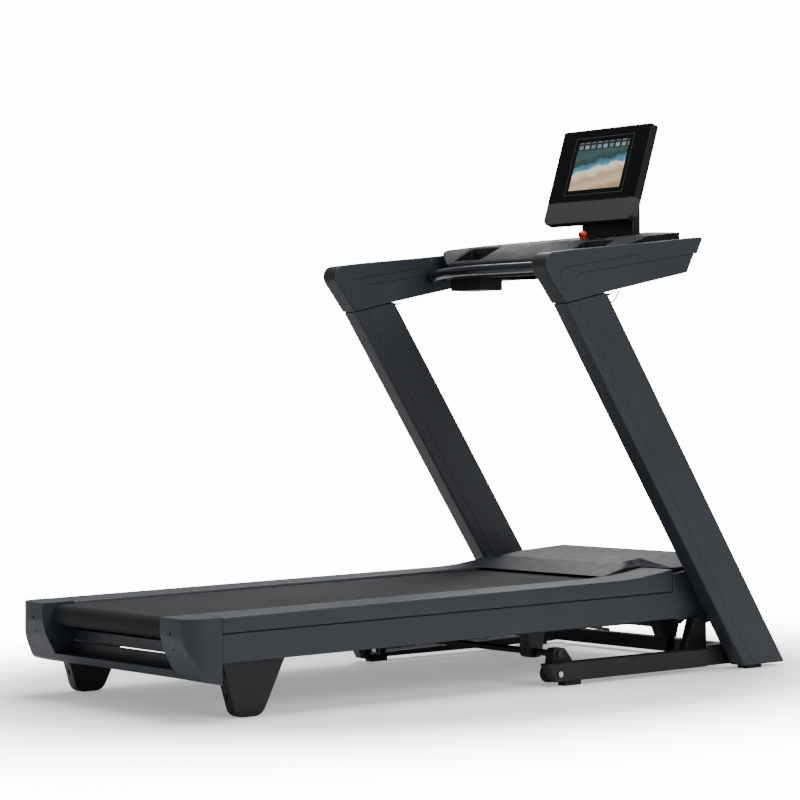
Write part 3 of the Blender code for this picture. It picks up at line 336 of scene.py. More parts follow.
@dataclass(frozen=True)
class CoastPicture:
    """The screen's picture: a sandy shore, water and a dark wood, under a row of tiles.

    Attributes:
        name: the material's name.
        glow: brightness of the display.
    """

    name: str
    glow: float = 1.0

    def material(self) -> bpy.types.Material:
        """Build the node material, which follows the display's own UV map."""
        sheet = NodeSheet(self.name)
        uv = sheet.add("ShaderNodeUVMap", uv_map="UVMap").outputs["UV"]
        split = sheet.add("ShaderNodeSeparateXYZ")
        sheet.link(uv, split.inputs["Vector"])
        height = self.shoreline(sheet, uv, split)
        scene = sheet.ramp(height, (
            (0.00, (0.42, 0.27, 0.15)), (0.14, (0.74, 0.54, 0.34)), (0.30, (0.55, 0.37, 0.22)),
            (0.40, (0.86, 0.70, 0.50)), (0.49, (0.92, 0.84, 0.70)), (0.52, (0.10, 0.34, 0.42)),
            (0.62, (0.03, 0.15, 0.22)), (0.66, (0.015, 0.045, 0.04)),
            (0.80, (0.03, 0.09, 0.08)), (1.00, (0.02, 0.05, 0.08))))
        tiles = sheet.add("ShaderNodeTexBrick", offset=0.0, squash=1.0)
        for socket, value in (("Scale", 1.0), ("Brick Width", 0.12), ("Row Height", 0.12),
                              ("Mortar Size", 0.022)):
            tiles.inputs[socket].default_value = value
        tiles.inputs["Color1"].default_value = (0.10, 0.16, 0.20, 1.0)
        tiles.inputs["Color2"].default_value = (0.28, 0.34, 0.36, 1.0)
        tiles.inputs["Mortar"].default_value = (0.004, 0.006, 0.008, 1.0)
        sheet.link(uv, tiles.inputs["Vector"])
        above = sheet.add("ShaderNodeMath", operation="GREATER_THAN")
        above.inputs[1].default_value = 0.84
        sheet.link(split.outputs["Y"], above.inputs[0])
        mix = sheet.add("ShaderNodeMix", data_type="RGBA")
        sheet.link(above.outputs["Value"], mix.inputs["Factor"])
        sheet.link(scene, mix.inputs[6])
        sheet.link(tiles.outputs["Color"], mix.inputs[7])
        sheet.link(mix.outputs[2], sheet.shader.inputs["Emission Color"])
        sheet.shader.inputs["Emission Strength"].default_value = self.glow
        sheet.shader.inputs["Base Color"].default_value = (0.004, 0.004, 0.005, 1.0)
        sheet.shader.inputs["Roughness"].default_value = 0.12
        return sheet.material

    @staticmethod
    def shoreline(sheet: NodeSheet, uv: bpy.types.NodeSocket,
                  split: bpy.types.Node) -> bpy.types.NodeSocket:
        """The picture's height, tilted and broken up so that the shore isn't straight.

        Args:
            sheet: the material being built.
            uv: the display's UV socket.
            split: the UV map's separate channels.

        Returns:
            The socket of the height that the colours follow.
        """
        lean = sheet.add("ShaderNodeMath", operation="MULTIPLY_ADD")
        lean.inputs[1].default_value = -0.22
        sheet.link(split.outputs["X"], lean.inputs[0])
        sheet.link(split.outputs["Y"], lean.inputs[2])
        rough = sheet.noise(uv, 5.0, 8.0)
        broken = sheet.add("ShaderNodeMath", operation="MULTIPLY_ADD")
        broken.inputs[1].default_value = 0.30
        sheet.link(rough, broken.inputs[0])
        sheet.link(lean.outputs["Value"], broken.inputs[2])
        return broken.outputs["Value"]


class Finish(Enum):
    """Every finish on the machine."""

    SLATE = Moulding("satin_slate", (0.0225, 0.0275, 0.0345), 0.44)
    POWDER = Moulding("powder_slate", (0.0215, 0.0245, 0.0295), 0.46, 520.0, 0.00006, 0.07)
    WRAP = Moulding("soft_wrap", (0.0100, 0.0116, 0.0150), 0.46, 700.0, 0.00008, 0.08)
    BLACK = Moulding("black_moulding", (0.0042, 0.0045, 0.0052), 0.42, 1100.0, 0.00005)
    KEYCAP = Moulding("key_cap", (0.0070, 0.0074, 0.0084), 0.36, 1500.0, 0.00002)
    SPEAKER = Moulding("speaker_cloth", (0.036, 0.036, 0.040), 0.60, 1500.0, 0.00012, 0.05)
    WINDOW = Moulding("black_window", (0.0008, 0.0010, 0.0013), 0.20, 300.0, 0.000002, 0.05,
                      0.0, 0.0, 0.12)
    TRAY = Moulding("dark_tray", (0.0095, 0.0112, 0.0135), 0.55, 900.0, 0.00005, 0.08,
                    0.0, 0.0, 0.10)
    PAINT = Moulding("black_paint", (0.0050, 0.0052, 0.0060), 0.40, 420.0, 0.00006, 0.10)
    GRIP = Moulding("grip_metal", (0.024, 0.028, 0.034), 0.24, 600.0, 0.000001, 0.05, 0.7)
    RUBBER = Moulding("black_rubber", (0.0050, 0.0050, 0.0055), 0.75, 800.0, 0.00010)
    ENAMEL = Moulding("motor_enamel", (0.0060, 0.0060, 0.0070), 0.34, 260.0, 0.00008)
    RED = Moulding("safety_red", (0.62, 0.030, 0.014), 0.30, 900.0, 0.00002, 0.06, 0.0, 0.3)
    INK = Moulding("legend_ink", (0.55, 0.56, 0.58), 0.50, 900.0, 0.00001, 0.04)
    LINE = Moulding("bezel_line", (0.075, 0.077, 0.082), 0.30, 900.0, 0.00001, 0.04)
    BOLT = Drawn("bright_bolt", (0.62, 0.62, 0.63), 0.22, Axis.X)
    STEEL = Drawn("bare_steel", (0.48, 0.48, 0.49), 0.30, Axis.Y)
    ROD = Drawn("drawn_rod", (0.52, 0.52, 0.53), 0.24, Axis.X)
    BELT = Weave("running_belt_weave", (0.0145, 0.0160, 0.0185))
    WOOD = Board("deck_board", (0.10, 0.065, 0.035), (0.045, 0.028, 0.016), 420.0)
    CIRCUIT = Board("circuit_board", (0.035, 0.12, 0.06), (0.01, 0.05, 0.03), 300.0)
    PICTURE = CoastPicture("coast_picture")


class Palette:
    """The finishes as materials, each made once, when it is first asked for."""

    def __init__(self) -> None:
        """Start with no material made."""
        self.made: dict[Finish, bpy.types.Material] = {}

    def get(self, finish: Finish) -> bpy.types.Material:
        """The material of a finish."""
        if finish not in self.made:
            self.made[finish] = finish.value.material()
        return self.made[finish]


PALETTE = Palette()


# ------------------------------------------------------------ the bench
class Bench:
    """Blender's own tools, as the maker's hands use them."""

    @staticmethod
    def pick(*pieces: bpy.types.Object) -> bpy.types.Object:
        """Select pieces alone, with the first one active.

        Args:
            pieces: the objects to select.

        Returns:
            The first object.
        """
        bpy.ops.object.select_all(action="DESELECT")
        for piece in pieces:
            piece.select_set(True)
        bpy.context.view_layer.objects.active = pieces[0]
        return pieces[0]

    @classmethod
    def settle(cls, piece: bpy.types.Object) -> bpy.types.Object:
        """Put a piece's place into its mesh, so that its object sits at the origin."""
        cls.pick(piece)
        bpy.ops.object.transform_apply(location=True, rotation=True, scale=True)
        return piece

    @classmethod
    def modify(cls, piece: bpy.types.Object, kind: str, **settings: object) -> bpy.types.Object:
        """Add a modifier to a piece and apply it.

        Args:
            piece: the object.
            kind: the modifier's type.
            settings: the modifier's attributes.

        Returns:
            The same object.
        """
        cls.pick(piece)
        step = piece.modifiers.new(kind.lower(), kind)
        for key, value in settings.items():
            setattr(step, key, value)
        bpy.ops.object.modifier_apply(modifier=step.name)
        return piece

    @classmethod
    def clean(cls, piece: bpy.types.Object, flat: float = 0.3) -> bpy.types.Object:
        """Merge doubles and dissolve the edges inside flat faces."""
        cls.pick(piece)
        bpy.ops.object.mode_set(mode="EDIT")
        bpy.ops.mesh.select_all(action="SELECT")
        bpy.ops.mesh.remove_doubles(threshold=0.00001)
        bpy.ops.mesh.dissolve_limited(angle_limit=math.radians(flat))
        bpy.ops.object.mode_set(mode="OBJECT")
        return piece

    @classmethod
    def smooth(cls, piece: bpy.types.Object, angle: float = 36.0) -> bpy.types.Object:
        """Smooth shading below an angle, with large faces kept flat."""
        cls.pick(piece)
        bpy.ops.object.shade_smooth_by_angle(angle=math.radians(angle))
        return cls.modify(piece, "WEIGHTED_NORMAL", keep_sharp=True)

    @classmethod
    def round_edges(cls, piece: bpy.types.Object, width: float, segments: int = 3,
                    angle: float = 40.0) -> bpy.types.Object:
        """Round the edges that are sharper than an angle."""
        return cls.modify(piece, "BEVEL", width=width, segments=segments,
                          limit_method="ANGLE", angle_limit=math.radians(angle),
                          miter_outer="MITER_ARC")

    @classmethod
    def carve(cls, piece: bpy.types.Object, *cutters: bpy.types.Object) -> bpy.types.Object:
        """Cut a piece with others, which are then thrown away."""
        for cutter in cutters:
            cls.modify(piece, "BOOLEAN", operation="DIFFERENCE", solver="EXACT",
                       object=cutter)
            bpy.data.objects.remove(cutter, do_unlink=True)
        return piece

    @classmethod
    def merge(cls, name: str, pieces: Sequence[bpy.types.Object]) -> bpy.types.Object:
        """Join pieces into one object."""
        cls.pick(*pieces)
        bpy.ops.object.join()
        joined = bpy.context.view_layer.objects.active
        joined.name = name
        return joined

    @classmethod
    def block(cls, name: str, low: Point, high: Point, radius: float = 0.0) -> bpy.types.Object:
        """A block between two corners, with rounded edges."""
        bpy.ops.object.select_all(action="DESELECT")
        low, high = Vector(low), Vector(high)
        bpy.ops.mesh.primitive_cube_add(size=1.0, location=(low + high) / 2)
        piece = bpy.context.view_layer.objects.active
        piece.name = name
        piece.scale = high - low
        cls.settle(piece)
        if radius > 0.0:
            cls.round_edges(piece, radius)
        return piece

    @classmethod
    def drum(cls, name: str, start: Point, end: Point, radius: float, sides: int = 32,
             rounding: float = 0.0) -> bpy.types.Object:
        """A round bar between two points, with rounded ends."""
        bpy.ops.object.select_all(action="DESELECT")
        start, end = Vector(start), Vector(end)
        along = end - start
        turn = Vector((0, 0, 1)).rotation_difference(along).to_euler()
        bpy.ops.mesh.primitive_cylinder_add(vertices=sides, radius=radius, depth=along.length,
                                            location=(start + end) / 2, rotation=turn)
        piece = bpy.context.view_layer.objects.active
        piece.name = name
        cls.settle(piece)
        if rounding > 0.0:
            cls.round_edges(piece, rounding)
        return piece

    @classmethod
    def cord_cutter(cls, name: str, points: Sequence[Point], radius: float) -> bpy.types.Object:
        """A thin round bar along points, that cuts a groove.

        Args:
            name: the cutter's name.
            points: the groove's path.
            radius: half the groove's width.

        Returns:
            The cutter, as a mesh.
        """
        curve = bpy.data.curves.new(name, "CURVE")
        curve.dimensions = "3D"
        curve.bevel_depth = radius
        curve.bevel_resolution = 1
        curve.use_fill_caps = True
        spline = curve.splines.new("POLY")
        spline.points.add(len(points) - 1)
        for target, place in zip(spline.points, points):
            target.co = (*place, 1.0)
        piece = bpy.data.objects.new(name, curve)
        bpy.context.scene.collection.objects.link(piece)
        cls.pick(piece)
        bpy.ops.object.convert(target="MESH")
        bpy.ops.object.mode_set(mode="EDIT")
        bpy.ops.mesh.select_all(action="SELECT")
        bpy.ops.mesh.remove_doubles(threshold=0.00001)
        bpy.ops.mesh.normals_make_consistent(inside=False)
        bpy.ops.object.mode_set(mode="OBJECT")
        return bpy.context.view_layer.objects.active

    @classmethod
    def copy_node(cls, node: str, name: str) -> bpy.types.Object:
        """A separate, merged copy of a CAD node."""
        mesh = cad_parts[node].data.copy()
        mesh.name = name
        mesh.materials.clear()
        piece = bpy.data.objects.new(name, mesh)
        bpy.context.scene.collection.objects.link(piece)
        return cls.clean(piece)

    @staticmethod
    def dress(piece: bpy.types.Object, finish: Finish,
              *others: tuple[Finish, Callable[[bpy.types.MeshPolygon], bool]]) -> None:
        """Give a piece its finish, and other finishes to the faces that a test picks.

        Args:
            piece: the object.
            finish: the finish of most of it.
            others: pairs of another finish and the test for its faces.
        """
        piece.data.materials.clear()
        piece.data.materials.append(PALETTE.get(finish))
        for slot_number, (other, test) in enumerate(others, 1):
            piece.data.materials.append(PALETTE.get(other))
            for face in piece.data.polygons:
                if test(face):
                    face.material_index = slot_number


def bent_path(corners: Sequence[tuple[float, float]], radii: Sequence[float],
              steps: int = 5) -> list[Vector]:
    """An open path through corners, rounded where a radius is given.

    Args:
        corners: flat corners in order.
        radii: a fillet radius for each corner, 0 for a sharp one.
        steps: short runs in each fillet.

    Returns:
        The path's points, flat.
    """
    path = []
    for number, (corner, radius) in enumerate(zip(corners, radii)):
        place = Vector(corner)
        if radius <= 0.0 or number in (0, len(corners) - 1):
            path.append(place)
            continue
        before = (Vector(corners[number - 1]) - place).normalized()
        after = (Vector(corners[number + 1]) - place).normalized()
        half = before.angle(after) / 2
        centre = place + (before + after).normalized() * (radius / math.sin(half))
        reach = radius / math.tan(half)
        first, last = place + before * reach - centre, place + after * reach - centre
        sweep = first.angle_signed(last)
        for step in range(steps + 1):
            arm = first.copy()
            arm.rotate(Matrix.Rotation(-sweep * step / steps, 2))
            path.append(centre + arm)
    return path


def in_side_plane(path: Sequence[Vector], y: float) -> list[Point]:
    """Flat (x, z) points stood up in the plane at y."""
    return [(point.x, y, point.y) for point in path]


# ------------------------------------------------------------ sub-assemblies
@dataclass
class SubAssembly:
    """A group of pieces that are made and dressed together.

    Attributes:
        title: the group's name in the log.
    """

    title: str

    def deliver(self, piece: bpy.types.Object, body: str, slot: str,
                *nodes: str) -> bpy.types.Object:
        """Put a finished piece on its body.

        Args:
            piece: the finished object, in place.
            body: the CAD body that it moves with.
            slot: not used.
            nodes: the CAD nodes that it stands for.

        Returns:
            The same object.
        """
        Bench.settle(piece)
        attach(piece, body)
        if nodes:
            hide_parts(*nodes)
        LOG.info("%s: %s, %d faces", self.title, piece.name, len(piece.data.polygons))
        return piece

    def refined(self, node: str, body: str, slot: str, finish: Finish, rounding: float = 0.0,
                angle: float = 36.0) -> bpy.types.Object:
        """Replace a CAD node by a merged, rounded and smooth copy with its finish.

        Args:
            node: the CAD node.
            body: the CAD body that it belongs to.
            slot: the name of a material slot, handed on to deliver.
            finish: the finish of the whole piece.
            rounding: radius of its edges, 0 where the node has its own.
            angle: edges below this angle are shaded smooth.

        Returns:
            The finished piece.
        """
        piece = Bench.copy_node(node, f"{node}_shell")
        if rounding > 0.0:
            Bench.round_edges(piece, rounding)
        Bench.smooth(piece, angle)
        Bench.dress(piece, finish)
        return self.deliver(piece, body, slot, node)

    def plain(self, finish: Finish, *nodes: str) -> None:
        """Dress CAD nodes whose shape is already right."""
        for node in nodes:
            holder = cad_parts[node]
            holder.data.materials.clear()
            holder.data.materials.append(PALETTE.get(finish))
            LOG.info("%s: %s dressed", self.title, node)


@dataclass
class ScrewSet(SubAssembly):
    """Socket screws, modelled once and copied to their places.

    Attributes:
        radius: radius of a head.
        height: how far a head stands out.
        socket: radius of the hexagonal socket.
    """

    title: str = "screws"
    radius: float = 0.0042
    height: float = 0.0016
    socket: float = 0.0019

    def head(self, name: str, place: Vector, outward: Vector) -> bpy.types.Object:
        """One screw head standing on a face."""
        base = place - outward * 0.0004
        piece = Bench.drum(name, base, place + outward * self.height, self.radius, 24, 0.0006)
        hexagon = Bench.drum(name + "_socket", place + outward * (self.height - 0.0011),
                             place + outward * (self.height + 0.002), self.socket, 6)
        Bench.carve(piece, hexagon)
        return Bench.smooth(piece)

    def fasten(self, name: str, body: str, places: Sequence[Point], outward: Point,
               finish: Finish = Finish.PAINT) -> None:
        """Set a row of screws on a face.

        Args:
            name: the row's name.
            body: the CAD body that they hold to.
            places: their places on the face.
            outward: the face's outward direction.
            finish: the screws' finish.
        """
        direction = Vector(outward).normalized()
        heads = [self.head(f"{name}_{number}", Vector(place), direction)
                 for number, place in enumerate(places)]
        row = Bench.merge(name, heads)
        Bench.dress(row, finish)
        self.deliver(row, body, "painted_steel")


SCREWS = ScrewSet()


@dataclass
class Uprights(SubAssembly):
    """The two leaning legs, with a lengthwise crease near the rear edge.

    Attributes:
        crease_share: how far in the crease lies, as a share of the depth.
        groove: half the width of the crease.
        lean: rearward run for each metre of rise.
        depth: horizontal depth of a leg.
        pad_top: height of the rubber pad under a leg.
        crease_start: how far over the foot the crease starts, and over the top it ends.
        screw_height: height of the lower screw on the inner face.
        screw_share: how far in from the front it lies, as a share of the depth.
        screw_step: from the lower screw to the upper one.
    """

    title: str = "uprights"
    crease_share: float = 0.30
    groove: float = 0.0013
    lean: float = 0.684
    depth: float = 0.173
    pad_top: float = 0.0095
    crease_start: float = 0.02
    screw_height: float = 0.30
    screw_share: float = 0.35
    screw_step: Point = (-0.035, 0.0, 0.045)

    def crease(self, low: Vector, high: Vector, y: float) -> bpy.types.Object:
        """A cutter for the crease on one face of a leg.

        Args:
            low: the lower corner of the leg's box.
            high: the upper corner of the leg's box.
            y: the face.

        Returns:
            The cutter.
        """
        x = high.x - self.depth + self.depth * self.crease_share
        ends = (low.z + self.crease_start, high.z + self.crease_start)
        return Bench.cord_cutter("crease", [(x - self.lean * (z - low.z), y, z) for z in ends],
                                 self.groove)

    def build(self) -> None:
        """Build both legs."""
        for side in Side:
            node = side.node("upright")
            low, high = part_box(node)
            leg = Bench.copy_node(node, f"leg_{side.label}")
            outer, inner = faces_of(side, low, high)
            Bench.carve(leg, self.crease(low, high, outer), self.crease(low, high, inner))
            Bench.smooth(leg, SOFT_BREAK)
            Bench.dress(leg, Finish.POWDER,
                        (Finish.RUBBER, lambda face: face.center.z < self.pad_top))
            self.deliver(leg, "stand", "slate_steel", node)
            front = high.x - self.lean * self.screw_height
            hold = Vector((front - self.depth * self.screw_share, inner, self.screw_height))
            SCREWS.fasten(f"leg_screws_{side.label}", "stand",
                          [hold, hold + Vector(self.screw_step)], (0, -side.value, 0))


@dataclass
class Arms(SubAssembly):
    """Side consoles over the legs: two wandering grooves and a soft wrap over the top.

    Attributes:
        groove: half the width of a groove.
        lip: how far the front cap stands proud of the part under it.
        wrap_reach: how far the soft wrap runs round the rear end.
        facing: how squarely a face has to point up or back to be wrapped.
        step_back: the front cap's lower edge behind the arm's front end.
        step_height: height of that edge.
        step_slope: lean of the front end, in radians.
        seal_start: the gasket's rear end before the arm's box.
        seal_thick: thickness of the gasket.
        seal_fall: how far the boot's lower edge falls over the gasket's run.
        seal_inset: how much shorter than the upright's depth that run is.
        seal_short: how much shorter than that depth the gasket's front end is.
    """

    title: str = "arms"
    groove: float = 0.0014
    lip: float = 0.006
    wrap_reach: float = 0.12
    facing: float = 0.55
    step_back: float = 0.025
    step_height: float = 1.1610
    step_slope: float = math.atan2(0.055, 0.098)
    seal_start: float = 0.1080
    seal_thick: float = 0.0030
    seal_fall: float = 0.032
    seal_inset: float = 0.021
    seal_short: float = 0.030

    def grooves(self, front: float) -> list[list[Vector]]:
        """The grooves' paths in (x, z), from the arm's front end."""
        upper = bent_path([(front - 0.532, 1.049), (front - 0.548, 1.102),
                           (front - 0.230, 1.153), (front - 0.226, 1.190)],
                          [0.0, 0.022, 0.010, 0.0])
        lower = bent_path([(front - 0.485, 1.066), (front - 0.480, 1.091),
                           (front + 0.010, 1.1645)], [0.0, 0.016, 0.0])
        return [upper, lower]

    def build(self) -> None:
        """Build both arms."""
        for side in Side:
            node = side.node("arm")
            low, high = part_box(node)
            arm = Bench.copy_node(node, f"arm_shell_{side.label}")
            outer, inner = faces_of(side, low, high)
            for y in (outer, inner):
                for path in self.grooves(high.x):
                    Bench.carve(arm, Bench.cord_cutter("arm_groove", in_side_plane(path, y),
                                                       self.groove))
            Bench.carve(arm, self.step_cutter(high.x, low.y, high.y))
            Bench.smooth(arm, SOFT_BREAK)
            Bench.dress(arm, Finish.SLATE,
                        (Finish.WRAP, lambda face: face.normal.z > self.facing
                         or (face.normal.x < -self.facing
                             and face.center.x < low.x + self.wrap_reach)))
            self.deliver(arm, "stand", "slate_plastic", node)
            self.boot(side, low)

    def step_cutter(self, front: float, low_y: float, high_y: float) -> bpy.types.Object:
        """A slanted block that sets the arm's lower front back behind its cap."""
        block = Bench.block("arm_step", (0.0, low_y - 0.01, -0.090), (0.03, high_y + 0.01, 0.0))
        edge = (front - self.step_back, 0.0, self.step_height)
        block.matrix_world = (Matrix.Translation(edge)
                              @ Matrix.Rotation(self.step_slope, 4, "Y")
                              @ Matrix.Translation((-self.lip, 0.0, 0.0)))
        return Bench.settle(block)

    def boot(self, side: Side, low: Vector) -> None:
        """A thin soft gasket where the arm's boot closes over the leg."""
        leg_low, leg_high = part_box(side.node("upright"))
        width = Uprights.depth
        centre_y = (leg_low.y + leg_high.y) / 2
        half = (leg_high.y - leg_low.y) / 2 - 0.0012
        top_rear = Vector((low.x + self.seal_start, centre_y, low.z - 0.0006))
        slope = math.atan2(self.seal_fall, width - self.seal_inset)
        seal = Bench.block("seal", (0.004, -half, -self.seal_thick),
                           (width - self.seal_short, half, 0.0), 0.0008)
        seal.matrix_world = (Matrix.Translation(top_rear) @ Matrix.Rotation(-slope, 4, "Y"))
        Bench.settle(seal)
        seal.name = f"boot_seal_{side.label}"
        Bench.smooth(seal)
        Bench.dress(seal, Finish.RUBBER)
        self.deliver(seal, "stand", "rubber")


@dataclass
class Console(SubAssembly):
    """Tray with its gloss key panel, keys, legends, cup holders, pulse bar and knob.

    Attributes:
        mark_height: thickness of a printed mark.
        mat_height: thickness of a cup holder's mat.
        rise: how far the tray's top rises over its run.
        run: the level length of that slope.
        key_place: the knob's distance from the panel's near edge.
        ribs: ribs on a cup mat.
    """

    title: str = "console"
    mark_height: float = 0.00012
    mat_height: float = 0.0025
    rise: float = 0.0404
    run: float = 0.325
    key_place: float = 0.154
    ribs: int = 9

    def build(self) -> None:
        """Build the console's pieces."""
        self.refined("console_tray", "stand", "slate_plastic", Finish.TRAY, 0.0022)
        self.refined("control_panel", "stand", "gloss_black", Finish.WINDOW, 0.0005)
        for key in ("incline_key", "speed_key", "start_key", "stop_key"):
            self.refined(key, key, "black_plastic", Finish.KEYCAP, 0.0005)
        for side in Side:
            node = side.node("cup_holder")
            self.refined(node, "stand", "black_plastic", Finish.BLACK, 0.0012)
            self.mat(side)
        self.refined("pulse_bar", "stand", "grip_metal", Finish.GRIP, 0.0, 60.0)
        self.panel_frame()
        self.legends()
        self.knob()
        self.refined("sensor_lead", "stand", "rubber", Finish.RUBBER, 0.0, 60.0)

    def panel_frame(self) -> None:
        """Find the panel's own directions from the panel node."""
        low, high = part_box("control_panel")
        slope = math.atan2(self.rise, self.run)
        self.along = Vector((math.cos(slope), 0.0, math.sin(slope)))
        self.normal = Vector((-math.sin(slope), 0.0, math.cos(slope)))
        rise = (high.x - low.x) * math.tan(slope)
        self.start = Vector((low.x, 0.0, high.z - rise))

    def on_panel(self, u: float, v: float, lift: float = 0.0) -> Vector:
        """A place on the panel.

        Args:
            u: distance from its edge by the runner, along it.
            v: distance to the runner's left of its middle.
            lift: height over its face.

        Returns:
            The place in the row frame.
        """
        return self.start + self.along * u + Vector((0, v, 0)) + self.normal * lift

    def mark(self, name: str, u: float, v: float, length: float, width: float,
             lift: float = 0.0001, hollow: float = 0.0) -> bpy.types.Object:
        """A small printed mark.

        Args:
            name: the mark's name.
            u: its place along the panel.
            v: its place across the panel.
            length: its size across the panel.
            width: its size along the panel.
            lift: height over the panel's face.
            hollow: width of its line where it is only an outline.

        Returns:
            The mark, in place.
        """
        piece = Bench.block(name, (-width / 2, -length / 2, 0.0),
                            (width / 2, length / 2, self.mark_height))
        if hollow > 0.0:
            inside = Bench.block(name + "_inside",
                                 (-width / 2 + hollow, -length / 2 + hollow, -0.01),
                                 (width / 2 - hollow, length / 2 - hollow, 0.01))
            Bench.carve(piece, inside)
        turn = Matrix((self.along, Vector((0, 1, 0)), self.normal)).transposed().to_4x4()
        piece.matrix_world = Matrix.Translation(self.on_panel(u, v, lift)) @ turn
        return Bench.settle(piece)

    def legends(self) -> None:
        """Plain marks beside the keys: bars, a frame and plus and minus signs."""
        ink = []
        for v in (0.170, -0.170):
            for offset in (-0.036, 0.036):
                ink.append(self.mark("sign", 0.065, v + offset, 0.007, 0.0012))
                if offset * v > 0:
                    ink.append(self.mark("stroke", 0.065, v + offset, 0.0012, 0.007))
            for step in (-0.008, 0.008):
                ink.append(self.mark("tick", 0.094, v + step, 0.009, 0.0020))
        ink.append(self.mark("frame", 0.100, 0.080, 0.034, 0.016, hollow=0.0009))
        ink.append(self.mark("bar", 0.100, 0.080, 0.016, 0.0016, 0.0002))
        for u, v, length in ((0.100, -0.070, 0.016), (0.150, -0.060, 0.012),
                             (0.150, 0.060, 0.012), (0.190, -0.090, 0.016)):
            ink.append(self.mark("dash", u, v, length, 0.0022))
        legend = Bench.merge("panel_legends", ink)
        Bench.dress(legend, Finish.INK)
        self.deliver(legend, "stand", "gloss_black")
        for key, v in (("start_key", 0.080), ("stop_key", -0.080)):
            signs = [self.mark(key + "_sign", 0.060, v, 0.010, 0.0016, 0.0005),
                     self.mark(key + "_sign", 0.064, v, 0.010, 0.0016, 0.0005)]
            sign = Bench.merge(key + "_mark", signs)
            Bench.dress(sign, Finish.INK)
            self.deliver(sign, key, "gloss_black")

    def mat(self, side: Side) -> None:
        """A ribbed rubber mat in the bottom of a cup holder."""
        low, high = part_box(side.node("cup_holder"))
        wall = 0.0055
        floor = low.z + 0.0042
        mat = Bench.block("mat", (low.x + wall, low.y + wall, floor),
                          (high.x - wall, high.y - wall, floor + self.mat_height), 0.0008)
        ribs = []
        for number in range(self.ribs):
            y = low.y + 0.014 + (high.y - low.y - 0.028) * number / (self.ribs - 1)
            ribs.append(Bench.block("rib", (low.x + 0.012, y - 0.0016, floor + 0.002),
                                    (high.x - 0.012, y + 0.0016, floor + 0.0042), 0.0006))
        mat = Bench.merge(f"cup_mat_{side.label}", [mat, *ribs])
        Bench.smooth(mat)
        Bench.dress(mat, Finish.RUBBER)
        self.deliver(mat, "stand", "rubber")

    def knob(self) -> None:
        """The red safety key: a round knob with a dimple to the runner, on a collar."""
        low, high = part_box("safety_key")
        radius = (high.y - low.y) / 2
        foot = self.on_panel(self.key_place, 0.0)
        bpy.ops.object.select_all(action="DESELECT")
        bpy.ops.mesh.primitive_uv_sphere_add(segments=40, ring_count=24, radius=radius,
                                             location=foot + self.normal * 0.0118)
        ball = bpy.context.view_layer.objects.active
        ball.scale = (0.98, 1.0, 0.86)
        Bench.settle(ball)
        centre = foot + self.normal * 0.0125
        dimple = Bench.drum("dimple", centre + Vector((-0.0075, 0, 0.0)),
                            centre + Vector((-0.03, 0, 0.006)), 0.0048, 28)
        Bench.carve(ball, dimple)
        collar = Bench.drum("collar", foot + self.normal * 0.0008,
                            foot + self.normal * 0.0042, radius * 0.72, 36, 0.0008)
        stem = Bench.drum("stem", foot - self.normal * 0.0145, foot + self.normal * 0.004,
                          0.0058, 28, 0.0006)
        knob = Bench.merge("safety_knob", [ball, collar, stem])
        Bench.smooth(knob, 45.0)
        Bench.dress(knob, Finish.RED)
        self.deliver(knob, "safety_key", "safety_red", "safety_key")


